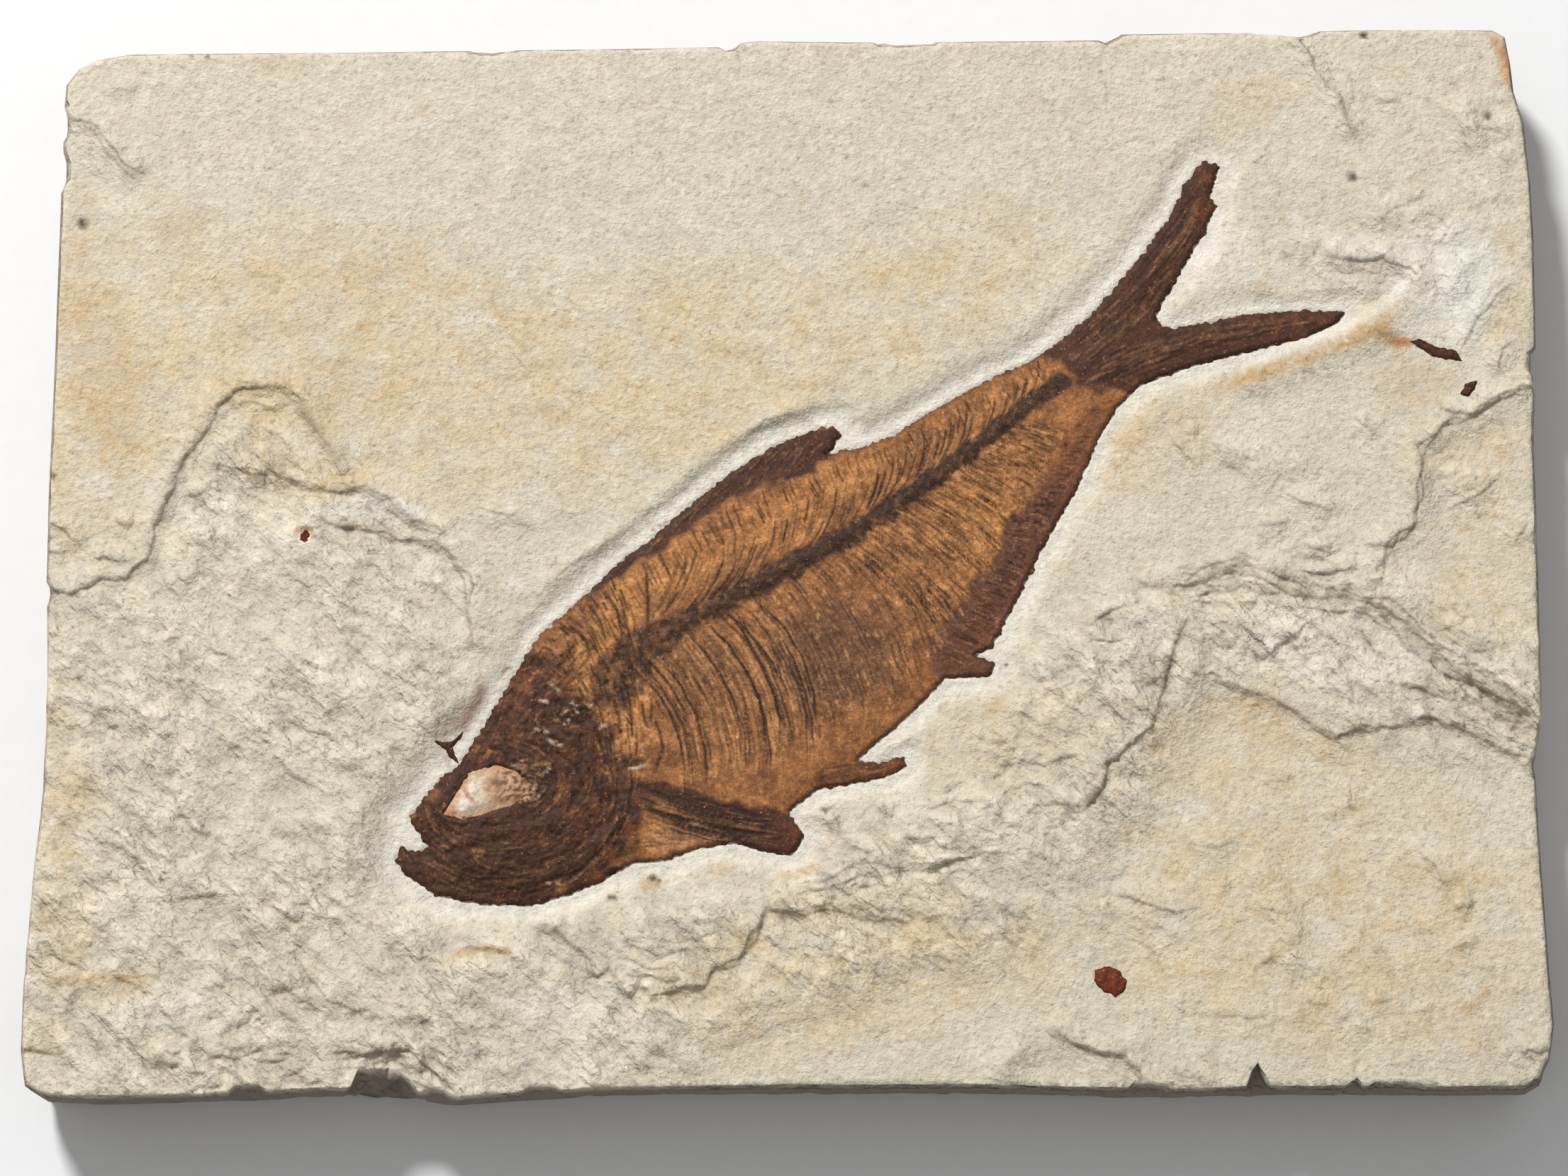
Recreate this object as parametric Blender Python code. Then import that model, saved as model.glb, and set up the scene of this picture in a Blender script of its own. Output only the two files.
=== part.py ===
"""Fossil fish slab: a loose block of bedded limestone with a flattened fish and a few small fossils in it.

The block lies on its flat underside at z = 0, centred on the origin. The fish's head points to -X and
its back to +Y. Plan points are in millimetres, each measured from one drawing origin near the block's
middle, and `to_scene` moves them to the centre of the block's box and turns them into metres.
"""

from collections import namedtuple

import bmesh
import bpy
import numpy as np
from mathutils import Vector
from mathutils.geometry import delaunay_2d_cdt

MM = 0.001
INNER_TRIANGLES = 1  # the kind of result that delaunay_2d_cdt gives

# Heights above the underside, in millimetres
SLAB_TOP = 13.0
SWELL = 0.22
FISH_PLANE = 12.45
FISH_BED = 11.5
FISH_RIM = 0.35
SPECK_BED = 1.0

# Widths and gaps, in millimetres
GAP = 0.3
EDGE_STEP = 4.2
TRENCH_WIDTH = 2.3
TRENCH_BANK = 1.5
GRID_STEP = 5.6
CLEARANCE = 1.5
NUDGE = 0.3
MERGE = 0.01

# Body of the fish, in millimetres: how far the trunk and the skull bulge, and how wide their flanks are
TRUNK_BULGE = 0.32
SKULL_BULGE = 0.45
FLANK = 5.0
SKULL_CENTRE = (-36.0, -32.0)
SKULL_RADIUS = 15.0
FISH_STEP = 3.6
BONE_STEP = 7.5

# The block's broken side, from the top down: share of the height and inset from the outline of each
# ring. Two of its beds stand out past the others.
TOP_INSET = 0.45
SIDE_RINGS = ((0.84, 0.75), (0.78, 0.12), (0.48, 0.0), (0.42, 0.6), (0.0, 1.1))
SIDE_ROUGHNESS = 0.45
CHIP_PACE = 5.0

# The block's outline, clockwise from the rounded far left corner
SLAB_OUTLINE = (
    (-98.8, 62.0), (-98.6, 66.0), (-97.0, 68.3), (-94.4, 69.7), (-90.0, 70.5), (-63.0, 70.8),
    (-30.0, 71.2), (-8.6, 71.5), (-7.2, 72.0), (-4.0, 72.4), (14.0, 72.2), (43.4, 72.6),
    (45.0, 73.4), (63.0, 73.6), (68.0, 73.2), (71.4, 74.0), (96.6, 74.0), (98.3, 73.0),
    (98.9, 69.0), (99.2, 65.0), (100.4, 60.4), (101.0, 52.0), (101.2, 44.0), (100.9, 27.0),
    (100.2, 15.0), (100.1, -8.0), (99.9, -22.2), (99.0, -28.0), (99.2, -43.2), (99.6, -55.0),
    (100.0, -63.0), (99.3, -67.5), (98.3, -70.6), (96.6, -71.5), (81.0, -71.7), (66.0, -71.5),
    (50.0, -71.9), (25.0, -71.3), (0.0, -71.4), (-22.0, -71.6), (-35.0, -72.3), (-44.0, -73.0),
    (-49.0, -72.2), (-60.0, -71.7), (-75.0, -72.5), (-91.0, -72.8), (-96.5, -72.3), (-99.0, -70.4),
    (-100.0, -66.5), (-100.0, -60.0), (-99.4, -46.0), (-98.4, -32.0), (-98.3, -18.0), (-98.9, -6.0),
    (-99.0, 10.0), (-98.8, 26.0), (-98.8, 45.0),
)

# A ledge follows its points with its low side on the right hand. `width` is the width of its wall in
# plan, `reach` how far its low side stays low, and `fades` says which of its two ends die out.
Ledge = namedtuple("Ledge", "points drop width reach fades")
FADE_SHARE = 0.16

LEDGES = (
    Ledge(  # the scalloped step that enters from the left side
        (
            (-104.0, -4.0), (-98.5, -4.9), (-95.5, -5.3), (-93.5, -4.4), (-91.5, -3.2),
            (-88.5, -3.3), (-85.4, -0.8), (-84.6, 3.5), (-82.8, 8.0), (-81.2, 12.6),
            (-80.2, 15.0), (-77.8, 17.2), (-76.6, 20.4), (-73.4, 23.4), (-69.0, 23.2),
            (-65.4, 22.0), (-63.4, 20.4), (-61.6, 15.8), (-59.5, 12.5),
        ),
        drop=1.15, width=0.5, reach=52.0, fades=(False, True),
    ),
    Ledge(  # the upper of two terraces left of the fish
        (
            (-79.5, 12.2), (-74.0, 12.0), (-70.0, 11.3), (-67.3, 10.9), (-64.8, 9.4),
            (-61.0, 8.8), (-56.4, 8.7), (-53.6, 7.2), (-50.4, 4.5), (-47.0, 3.5), (-43.4, 1.5),
        ),
        drop=0.6, width=0.8, reach=30.0, fades=(True, True),
    ),
    Ledge(  # the lower terrace, which turns down beside the skull
        (
            (-65.0, 5.2), (-61.0, 3.8), (-57.0, 3.1), (-53.6, 1.9), (-48.6, 1.2), (-45.2, -0.6),
            (-43.6, -4.0), (-42.6, -8.0), (-42.2, -13.0), (-41.2, -18.5), (-42.5, -23.0),
        ),
        drop=0.6, width=1.2, reach=30.0, fades=(True, True),
    ),
    Ledge(  # the ragged flake under the throat
        (
            (-33.6, -48.9), (-29.6, -51.0), (-26.8, -53.4), (-24.9, -56.6), (-23.4, -55.4),
            (-20.9, -59.4), (-19.4, -57.8), (-17.8, -59.6), (-15.0, -58.7), (-10.9, -57.9),
            (-9.3, -56.0), (-6.6, -54.6), (-4.2, -50.8), (-2.8, -48.0), (1.4, -48.3), (5.6, -47.3),
            (8.6, -48.7), (13.0, -49.3), (19.0, -49.0),
        ),
        drop=0.7, width=0.6, reach=16.0, fades=(True, True),
    ),
    Ledge(  # small terraces between the flake and the belly
        ((-1.0, -45.6), (5.0, -44.6), (10.0, -42.6), (16.0, -42.2), (21.0, -41.8), (25.6, -41.4)),
        drop=0.3, width=0.7, reach=6.0, fades=(True, True),
    ),
    Ledge(  # the steep right side of the plateau below the anal fin
        (
            (35.0, -34.4), (39.6, -34.0), (41.4, -32.0), (42.0, -28.4), (45.6, -25.6),
            (48.4, -23.0), (49.8, -19.4), (50.8, -14.6), (52.2, -9.8), (53.6, -7.0),
        ),
        drop=0.95, width=0.7, reach=15.0, fades=(True, True),
    ),
    Ledge(  # the lower edge of the rough band at the right
        (
            (54.0, -14.8), (58.0, -17.4), (61.0, -18.6), (64.6, -19.6), (68.6, -22.6),
            (72.5, -25.0), (76.0, -23.4), (80.0, -23.6), (85.0, -21.9), (89.0, -23.2),
            (94.0, -26.2), (98.4, -28.2), (103.0, -29.5),
        ),
        drop=0.8, width=1.0, reach=34.0, fades=(True, False),
    ),
    Ledge(  # the upper edge of that band
        (
            (50.0, -5.0), (54.5, -3.6), (60.0, -2.2), (66.0, -4.6), (71.0, -5.6), (79.0, -6.6),
            (85.0, -12.2), (91.0, -17.0), (97.0, -22.0), (103.0, -26.0),
        ),
        drop=0.7, width=2.2, reach=26.0, fades=(True, False),
    ),
    Ledge(  # a flake with a pointed lower end inside the band
        ((55.0, -8.6), (58.6, -9.0), (60.6, -11.8), (63.0, -14.0), (67.8, -10.8), (70.4, -7.4)),
        drop=0.3, width=0.5, reach=6.0, fades=(True, True),
    ),
    Ledge(  # the step that cuts off the right edge
        (
            (75.0, -3.6), (78.7, -3.0), (80.4, 1.0), (83.4, 4.4), (84.5, 8.0), (85.0, 14.6),
            (88.0, 17.6), (92.5, 19.8), (97.4, 22.4), (104.0, 25.0),
        ),
        drop=0.7, width=0.9, reach=20.0, fades=(True, False),
    ),
    Ledge(  # the shell-shaped scar above the tip of the tail
        ((71.6, 42.0), (75.0, 39.6), (80.6, 40.6), (84.4, 39.2), (86.2, 36.6)),
        drop=0.55, width=0.9, reach=5.0, fades=(True, True),
    ),
    Ledge(  # the scar that runs in from the far edge
        ((79.0, 57.6), (76.2, 61.6), (75.4, 64.6), (72.6, 68.6), (70.8, 76.0)),
        drop=0.35, width=0.9, reach=9.0, fades=(True, False),
    ),
    Ledge(  # the chipped hollow on the left edge near the far corner
        ((-103.0, 62.4), (-96.5, 60.6), (-93.2, 58.2), (-90.4, 54.4), (-86.0, 51.6)),
        drop=0.6, width=0.7, reach=6.0, fades=(False, True),
    ),
    Ledge(  # chips along the near edge
        ((-59.0, -67.6), (-53.0, -66.5), (-48.8, -65.9), (-46.2, -68.6), (-43.0, -70.6)),
        drop=0.7, width=0.6, reach=6.0, fades=(True, True),
    ),
    Ledge(
        ((31.0, -62.4), (35.0, -64.6), (40.0, -66.6), (44.0, -67.2), (45.2, -69.6), (47.0, -76.0)),
        drop=0.65, width=0.6, reach=8.0, fades=(True, False),
    ),
    Ledge(
        ((-104.0, -66.9), (-97.5, -65.3), (-93.5, -67.0), (-89.0, -68.6)),
        drop=0.4, width=0.5, reach=5.0, fades=(False, True),
    ),
)

# A notch broken out of the near edge: its place there, half width, how far in it goes and how deep
NOTCH_CENTRE = (61.6, -72.0)
NOTCH_HALF_WIDTH = 1.7
NOTCH_INWARD = 2.6
NOTCH_DEPTH = 4.2

# The fish's outline, clockwise from the corner of its mouth
FISH_OUTLINE = (
    # upper jaw, brow and nape
    (-47.3, -39.5), (-48.2, -38.3), (-49.9, -35.7), (-48.0, -33.0), (-46.0, -30.5), (-43.5, -28.7),
    (-41.8, -26.0), (-38.3, -20.0), (-36.0, -16.0), (-33.0, -11.0), (-29.7, -8.2), (-25.3, -4.0),
    (-22.7, -1.3),
    # dorsal fin, folded down along the back
    (-18.7, 1.7), (-14.0, 6.0), (-10.0, 9.3), (-6.0, 12.3), (-2.0, 14.9), (2.4, 16.6),
    (6.9, 17.0), (5.4, 14.2),
    # back, up to the tip of the tail's upper lobe
    (10.0, 14.8), (14.0, 16.3), (18.0, 19.0), (22.7, 21.7), (28.2, 24.7), (32.5, 26.6),
    (36.8, 29.6), (41.9, 34.3), (45.3, 38.4), (48.3, 42.2), (51.7, 46.9), (53.8, 51.6),
    (56.6, 55.1), (58.7, 54.3),
    # trailing edges of the two lobes
    (57.4, 50.2), (58.1, 48.6), (56.4, 44.8), (53.4, 39.7), (50.8, 35.4), (49.6, 32.4),
    (51.8, 31.2), (55.1, 31.9), (62.4, 33.3), (70.0, 33.9), (75.4, 33.6),
    # lower lobe and wrist of the tail
    (74.0, 32.0), (70.0, 30.1), (63.2, 28.4), (54.7, 26.2), (47.4, 23.4), (44.2, 20.3),
    # anal fin
    (41.7, 16.0), (39.7, 11.3), (38.3, 8.3), (35.7, 4.0), (33.3, -0.3), (31.0, -5.3),
    (28.7, -9.7), (27.2, -12.6), (25.0, -13.7), (27.6, -15.0), (26.7, -16.6), (20.7, -16.9),
    # belly
    (17.7, -20.2), (14.0, -23.7), (10.4, -26.6), (9.0, -28.1),
    # pelvic fin
    (12.0, -28.3), (15.5, -27.3), (15.7, -28.8), (12.7, -30.2), (8.0, -31.2), (4.0, -31.8),
    (0.0, -34.8),
    # pectoral fin
    (2.2, -38.3), (0.5, -40.6), (-2.7, -40.2), (-7.0, -39.0), (-12.0, -39.7), (-16.0, -41.3),
    # throat and lower jaw
    (-20.3, -41.6), (-24.7, -44.2), (-28.7, -45.8), (-33.7, -47.3), (-40.0, -47.1),
    (-46.0, -46.0), (-50.0, -43.3), (-51.6, -41.3), (-50.8, -39.7), (-49.2, -40.2),
)

# Lines inside the fish that its bones spring from or reach to
COLUMN = (
    (-23.0, -17.4), (-19.3, -13.3), (-15.3, -10.5), (-8.0, -6.3), (-0.7, -2.3), (8.3, 2.7),
    (16.0, 7.7), (24.0, 13.7), (30.8, 19.4), (36.8, 23.9),
)
CHEST_COLUMN = ((-17.5, -11.8), (-8.0, -6.3), (-0.7, -2.3), (8.3, 2.7), (14.0, 6.4))
CHEST_FLOOR = ((-9.0, -32.0), (-2.0, -31.0), (5.0, -28.0), (11.0, -23.6), (16.6, -17.6))
HIND_COLUMN = ((15.0, 7.1), (24.0, 13.7), (30.8, 19.4), (34.6, 22.2))
ANAL_FIN_ROOT = (
    (19.0, -14.0), (21.7, -10.3), (24.3, -6.0), (27.7, -1.7), (29.7, 4.0), (33.7, 7.7),
    (36.7, 12.3), (39.3, 17.3),
)
ANAL_FIN_EDGE = (
    (23.4, -15.9), (26.8, -12.0), (30.2, -5.4), (34.8, 3.9), (38.6, 11.0), (41.6, 17.6),
)
BACK_COLUMN = ((-13.0, -8.8), (-0.7, -2.3), (8.3, 2.7), (24.0, 13.7), (33.0, 21.0))
BACK_LINE = ((-8.0, 5.0), (4.0, 9.6), (12.0, 13.2), (26.0, 21.8), (35.0, 26.4))
DORSAL_FIN_ROOT = ((-19.6, -0.6), (-14.0, 2.9), (-9.7, 6.0), (-3.0, 9.5), (2.7, 11.6))
DORSAL_FIN_EDGE = ((-15.0, 4.4), (-9.0, 9.2), (-3.4, 13.2), (0.6, 15.0), (5.0, 15.7))
TAIL_ROOT_UPPER = ((37.0, 27.6), (38.6, 25.4))
TAIL_EDGE_UPPER = ((56.6, 53.2), (56.2, 47.0), (52.4, 40.0), (48.6, 33.4))
TAIL_ROOT_LOWER = ((38.8, 24.6), (40.4, 22.0))
TAIL_EDGE_LOWER = ((51.0, 29.8), (60.0, 31.6), (68.0, 32.4), (72.8, 32.4))
PECTORAL_ROOT = ((-20.6, -31.8), (-20.0, -36.4))
PECTORAL_TIP = ((-0.6, -36.2), (0.6, -39.2))
PELVIC_ROOT = ((4.2, -29.8), (4.8, -31.0))
PELVIC_TIP = ((14.4, -28.2), (13.6, -29.4))

# A comb is a row of bones between two lines. `bow` bends each bone, as a share of its length.
Comb = namedtuple("Comb", "roots tips count bow height width")

COMBS = (
    Comb(CHEST_COLUMN, CHEST_FLOOR, count=20, bow=0.06, height=0.2, width=0.5),
    Comb(HIND_COLUMN, ANAL_FIN_ROOT, count=15, bow=0.0, height=0.16, width=0.45),
    Comb(BACK_COLUMN, BACK_LINE, count=20, bow=-0.04, height=0.13, width=0.45),
    Comb(ANAL_FIN_ROOT, ANAL_FIN_EDGE, count=18, bow=0.0, height=0.16, width=0.55),
    Comb(DORSAL_FIN_ROOT, DORSAL_FIN_EDGE, count=8, bow=0.0, height=0.16, width=0.5),
    Comb(TAIL_ROOT_UPPER, TAIL_EDGE_UPPER, count=8, bow=-0.05, height=0.18, width=0.6),
    Comb(TAIL_ROOT_LOWER, TAIL_EDGE_LOWER, count=8, bow=0.05, height=0.18, width=0.6),
    Comb(PECTORAL_ROOT, PECTORAL_TIP, count=4, bow=-0.05, height=0.2, width=0.55),
    Comb(PELVIC_ROOT, PELVIC_TIP, count=2, bow=0.0, height=0.16, width=0.4),
)
BONE_POINTS = 4
BONE_END = 0.35

# A ridge is one raised line: its points, its height and the half width of its foot
Ridge = namedtuple("Ridge", "points height width")

SKULL_RIDGES = (
    Ridge(COLUMN, height=0.42, width=1.15),
    Ridge(((-47.0, -40.6), (-42.0, -38.8), (-36.0, -37.2), (-29.0, -36.6)), height=0.3, width=1.3),
    Ridge(((-48.2, -36.4), (-45.6, -33.2), (-42.6, -29.2), (-38.6, -25.2)), height=0.25, width=1.1),
    Ridge(((-38.0, -24.6), (-33.6, -19.4), (-30.0, -14.0), (-25.4, -8.4)), height=0.25, width=1.3),
    Ridge(((-27.4, -16.4), (-25.6, -22.0), (-26.0, -28.0), (-28.4, -33.4)), height=0.3, width=1.1),
    Ridge(((-20.8, -31.4), (-22.4, -37.0), (-27.0, -41.8), (-34.6, -44.6)), height=0.28, width=1.2),
    Ridge(((-19.0, -4.6), (-18.4, -9.4), (-19.6, -12.0)), height=0.25, width=0.8),
    Ridge(((-22.0, -18.8), (-20.4, -24.6), (-20.8, -30.4)), height=0.25, width=0.9),
)

EYE_OUTLINE = (
    (-45.6, -35.4), (-43.6, -32.4), (-42.0, -30.0), (-38.5, -28.5), (-36.0, -29.2),
    (-33.2, -31.4), (-36.0, -34.1), (-39.8, -35.4), (-43.0, -36.3),
)
EYE_BED = 0.8

# Small fossils beside the fish: outline, clockwise, and how far the middle rises
Speck = namedtuple("Speck", "name outline rise colour")

SPECKS = (
    Speck(
        "bone_chip",
        (
            (-46.9, -25.4), (-45.0, -25.0), (-43.0, -24.0), (-43.6, -25.4), (-44.6, -26.4),
            (-43.9, -28.2), (-45.4, -27.4), (-46.2, -26.4),
        ),
        rise=0.12, colour=(0.05, 0.025, 0.018),
    ),
    Speck(
        "bone_splinter",
        ((83.8, 29.4), (85.2, 29.7), (87.4, 28.6), (90.0, 28.1), (90.9, 26.5), (87.0, 27.2)),
        rise=0.15, colour=(0.075, 0.03, 0.02),
    ),
    Speck(
        "bone_fleck",
        ((90.4, 22.0), (91.1, 23.4), (92.7, 23.9), (92.4, 22.7), (91.4, 21.7)),
        rise=0.12, colour=(0.1, 0.035, 0.02),
    ),
    Speck(
        "brown_scale",
        (
            (39.9, -57.3), (40.1, -56.0), (41.4, -55.4), (43.0, -55.8), (44.3, -57.4),
            (43.9, -58.9), (42.7, -59.4), (41.2, -58.8),
        ),
        rise=0.15, colour=(0.11, 0.028, 0.016),
    ),
    Speck(
        "small_scale",
        ((-65.3, 2.2), (-65.1, 3.1), (-64.4, 3.4), (-63.7, 2.9), (-63.7, 2.1), (-64.5, 1.6)),
        rise=0.12, colour=(0.14, 0.04, 0.022),
    ),
)
SPECK_RIM = 0.1
SPECK_INNER = 0.55


def clear_scene():
    for thing in list(bpy.data.objects):
        bpy.data.objects.remove(thing)


def material(name, colour, roughness):
    made = bpy.data.materials.new(name)
    made.use_nodes = True
    shader = made.node_tree.nodes["Principled BSDF"]
    shader.inputs["Base Color"].default_value = (*colour, 1.0)
    shader.inputs["Roughness"].default_value = roughness
    shader.inputs["Metallic"].default_value = 0.0
    return made


def smooth(share):
    """An even S-curve from 0 to 1."""
    share = np.clip(share, 0.0, 1.0)
    return share * share * (3.0 - 2.0 * share)


def anticlockwise(points):
    """The closed outline as an array that runs anticlockwise seen from above."""
    points = np.array(points, float)
    following = np.roll(points, -1, axis=0)
    area = np.sum(points[:, 0] * following[:, 1] - following[:, 0] * points[:, 1])
    return points if area > 0.0 else points[::-1]


def resampled(points, step, closed=False):
    """The line cut into even pieces of about `step`, with every corner kept."""
    points = [np.array(point, float) for point in points]
    ends = points[1:] + points[:1] if closed else points[1:]
    made = []
    for start, end in zip(points, ends):
        pieces = max(1, round(float(np.linalg.norm(end - start)) / step))
        made += [start + (end - start) * index / pieces for index in range(pieces)]
    return np.array(made if closed else made + points[-1:])


def along(line, share):
    """The point at this share of the line's length."""
    line = np.array(line, float)
    lengths = np.linalg.norm(np.diff(line, axis=0), axis=1)
    marks = np.concatenate([[0.0], np.cumsum(lengths)]) / lengths.sum()
    return np.array([np.interp(share, marks, line[:, axis]) for axis in range(2)])


def nearest(places, line):
    """For each place: its distance to the line, its side (+1 on the right) and its share along it."""
    line = np.array(line, float)
    start, run = line[:-1], np.diff(line, axis=0)
    lengths = np.linalg.norm(run, axis=1)
    away = places[:, None, :] - start[None]
    share = np.clip(np.sum(away * run, axis=2) / lengths**2, 0.0, 1.0)
    offset = away - share[..., None] * run
    distances = np.linalg.norm(offset, axis=2)
    pick = np.argmin(distances, axis=1)
    row = np.arange(len(places))
    turn = run[pick, 0] * offset[row, pick, 1] - run[pick, 1] * offset[row, pick, 0]
    before = np.concatenate([[0.0], np.cumsum(lengths)[:-1]])
    travelled = (before[pick] + share[row, pick] * lengths[pick]) / lengths.sum()
    return distances[row, pick], np.where(turn > 0.0, -1.0, 1.0), travelled


def depth_inside(places, outline):
    """How deep each place lies inside the closed anticlockwise outline, negative outside it."""
    distance, _, _ = nearest(places, np.vstack([outline, outline[:1]]))
    start, end = outline, np.roll(outline, -1, axis=0)
    x, y = places[:, 0, None], places[:, 1, None]
    crosses = (start[:, 1] > y) != (end[:, 1] > y)
    rise = np.where(end[:, 1] == start[:, 1], 1.0, end[:, 1] - start[:, 1])
    reach = start[:, 0] + (end[:, 0] - start[:, 0]) * (y - start[:, 1]) / rise
    inside = np.sum(crosses & (x < reach), axis=1) % 2 == 1
    return np.where(inside, distance, -distance)


def grown(outline, distance):
    """The anticlockwise outline moved outwards, by one distance or by one for each corner."""
    edges = np.roll(outline, -1, axis=0) - outline
    edges /= np.linalg.norm(edges, axis=1)[:, None]
    normals = np.column_stack([edges[:, 1], -edges[:, 0]])
    corner = normals + np.roll(normals, 1, axis=0)
    square = np.sum(corner**2, axis=1)
    return outline + corner * (2.0 * distance / np.maximum(square, 1.0))[:, None]


def wobble(places, seed=0.0):
    """A slow, even unevenness between -1 and 1."""
    x, y = places[:, 0], places[:, 1]
    return (
        np.sin(0.071 * x + 0.043 * y + seed)
        + np.sin(0.113 * y - 0.052 * x + 2.1 * seed)
        + np.sin(0.19 * x + 0.23 * y + 3.7 * seed)
    ) / 3.0


SLAB = anticlockwise(SLAB_OUTLINE)
CENTRE = (SLAB.min(axis=0) + SLAB.max(axis=0)) / 2.0
FISH = anticlockwise(FISH_OUTLINE)


def to_scene(point, height):
    return Vector(((point[0] - CENTRE[0]) * MM, (point[1] - CENTRE[1]) * MM, height * MM))


def stone_height(places):
    """Height of the stone's top, before the beds are cut into it."""
    height = SLAB_TOP + SWELL * wobble(places)
    for ledge in LEDGES:
        distance, side, share = nearest(places, ledge.points)
        wall = smooth(0.5 + side * distance / ledge.width)
        strength = np.ones(len(places))
        if ledge.fades[0]:
            strength *= smooth(share / FADE_SHARE)
        if ledge.fades[1]:
            strength *= smooth((1.0 - share) / FADE_SHARE)
        height -= ledge.drop * wall * strength * np.exp(-((distance / ledge.reach) ** 2))
    across = np.abs(places[:, 0] - NOTCH_CENTRE[0]) / NOTCH_HALF_WIDTH
    inward = np.abs(places[:, 1] - NOTCH_CENTRE[1]) / NOTCH_INWARD
    height -= NOTCH_DEPTH * np.clip(1.0 - across - inward, 0.0, 1.0)
    outside = -depth_inside(places, FISH)
    scraped = 1.0 - smooth((outside - TRENCH_WIDTH) / TRENCH_BANK)
    return height + (FISH_PLANE - height) * scraped


def bones():
    """Every raised line of the fish."""
    made = list(SKULL_RIDGES)
    for comb in COMBS:
        for index in range(comb.count):
            share = index / (comb.count - 1)
            root, tip = along(comb.roots, share), along(comb.tips, share)
            sideways = np.array([root[1] - tip[1], tip[0] - root[0]]) * comb.bow
            steps = np.linspace(0.0, 1.0, BONE_POINTS)[:, None]
            points = root + (tip - root) * steps + sideways * 4.0 * steps * (1.0 - steps)
            made.append(Ridge(points, comb.height, comb.width))
    return made


def fish_height(places, ridges):
    """Height of the fish's top."""
    inside = depth_inside(places, FISH)
    from_skull = np.linalg.norm(places - np.array(SKULL_CENTRE), axis=1) / SKULL_RADIUS
    skull = SKULL_BULGE * smooth(1.6 - from_skull)
    height = FISH_PLANE + FISH_RIM + (TRUNK_BULGE + skull) * smooth(inside / FLANK)
    relief = np.zeros(len(places))
    for ridge in ridges:
        distance, _, share = nearest(places, ridge.points)
        middle = smooth(np.minimum(share, 1.0 - share) / FADE_SHARE)
        crest = ridge.height * (BONE_END + (1.0 - BONE_END) * middle)
        relief = np.maximum(relief, crest * np.clip(1.0 - distance / ridge.width, 0.0, 1.0))
    return height + relief


def beside(line, distance):
    """The line moved sideways, to its right where the distance is positive."""
    line = np.array(line, float)
    run = np.gradient(line, axis=0)
    run /= np.linalg.norm(run, axis=1)[:, None]
    return line + distance * np.column_stack([run[:, 1], -run[:, 0]])


def even_grid(outline, step):
    """Points in a staggered grid over the outline's box, nudged so that no two rows line up."""
    low, high = outline.min(axis=0), outline.max(axis=0)
    columns = np.arange(low[0], high[0], step)
    rows = np.arange(low[1], high[1], step * 0.87)
    x, y = np.meshgrid(columns, rows)
    x = x + step * 0.5 * (np.arange(len(rows)) % 2)[:, None]
    places = np.column_stack([x.ravel(), y.ravel()])
    nudge = np.column_stack([wobble(places * CHIP_PACE, 1.0), wobble(places * CHIP_PACE, 4.0)])
    return places + nudge * step * NUDGE


def clear_of(places, others, distance):
    """The places that are at least this far from every one of the others."""
    gaps = np.linalg.norm(places[:, None, :] - others[None], axis=2).min(axis=1)
    return places[gaps > distance]


def surface(outline, lines, loose, height_of):
    """A triangulated top inside the outline that keeps every line as a crease: bmesh and its rim."""
    points = [Vector(point) for point in outline]
    face = [list(range(len(points)))]
    creases = []
    for line in lines:
        first = len(points)
        points += [Vector(point) for point in line]
        creases += [(index, index + 1) for index in range(first, len(points) - 1)]
    points += [Vector(point) for point in loose]
    flat, _, faces, *_ = delaunay_2d_cdt(points, creases, face, INNER_TRIANGLES, MERGE)
    places = np.array([(point.x, point.y) for point in flat])
    heights = height_of(places)
    mesh = bmesh.new()
    corners = [mesh.verts.new(to_scene(place, height)) for place, height in zip(places, heights)]
    for triangle in faces:
        mesh.faces.new([corners[index] for index in triangle])
    for corner in [corner for corner in corners if not corner.link_faces]:
        mesh.verts.remove(corner)
    return mesh, rim_of(mesh)


def rim_of(mesh):
    """The surface's border, in order, with the surface on its left."""
    onward = {}
    for edge in mesh.edges:
        if edge.is_boundary:
            loop = edge.link_loops[0]
            onward[loop.vert] = loop.link_loop_next.vert
    rim = [next(iter(onward))]
    while onward[rim[-1]] is not rim[0]:
        rim.append(onward[rim[-1]])
    return rim


def add_ring(mesh, rim, corners):
    """Walls from the rim down to a new ring of corners."""
    ring = [mesh.verts.new(corner) for corner in corners]
    for index, corner in enumerate(rim):
        following = (index + 1) % len(rim)
        mesh.faces.new((rim[following], corner, ring[index], ring[following]))
    return ring


def add_object(name, mesh, colour, roughness):
    """Closes the mesh's bookkeeping and puts it in the scene as one named object."""
    data = bpy.data.meshes.new(name)
    bmesh.ops.triangulate(mesh, faces=[face for face in mesh.faces if len(face.verts) == 4])
    mesh.to_mesh(data)
    mesh.free()
    data.materials.append(material(name + "_material", colour, roughness))
    made = bpy.data.objects.new(name, data)
    bpy.context.collection.objects.link(made)
    return made


def prism(outline, low, high):
    """A closed upright prism over the anticlockwise outline."""
    mesh = bmesh.new()
    top = [mesh.verts.new(to_scene(point, high)) for point in outline]
    mesh.faces.new(top)
    base = add_ring(mesh, top, [to_scene(point, low) for point in outline])
    mesh.faces.new(base[::-1])
    return mesh


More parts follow.
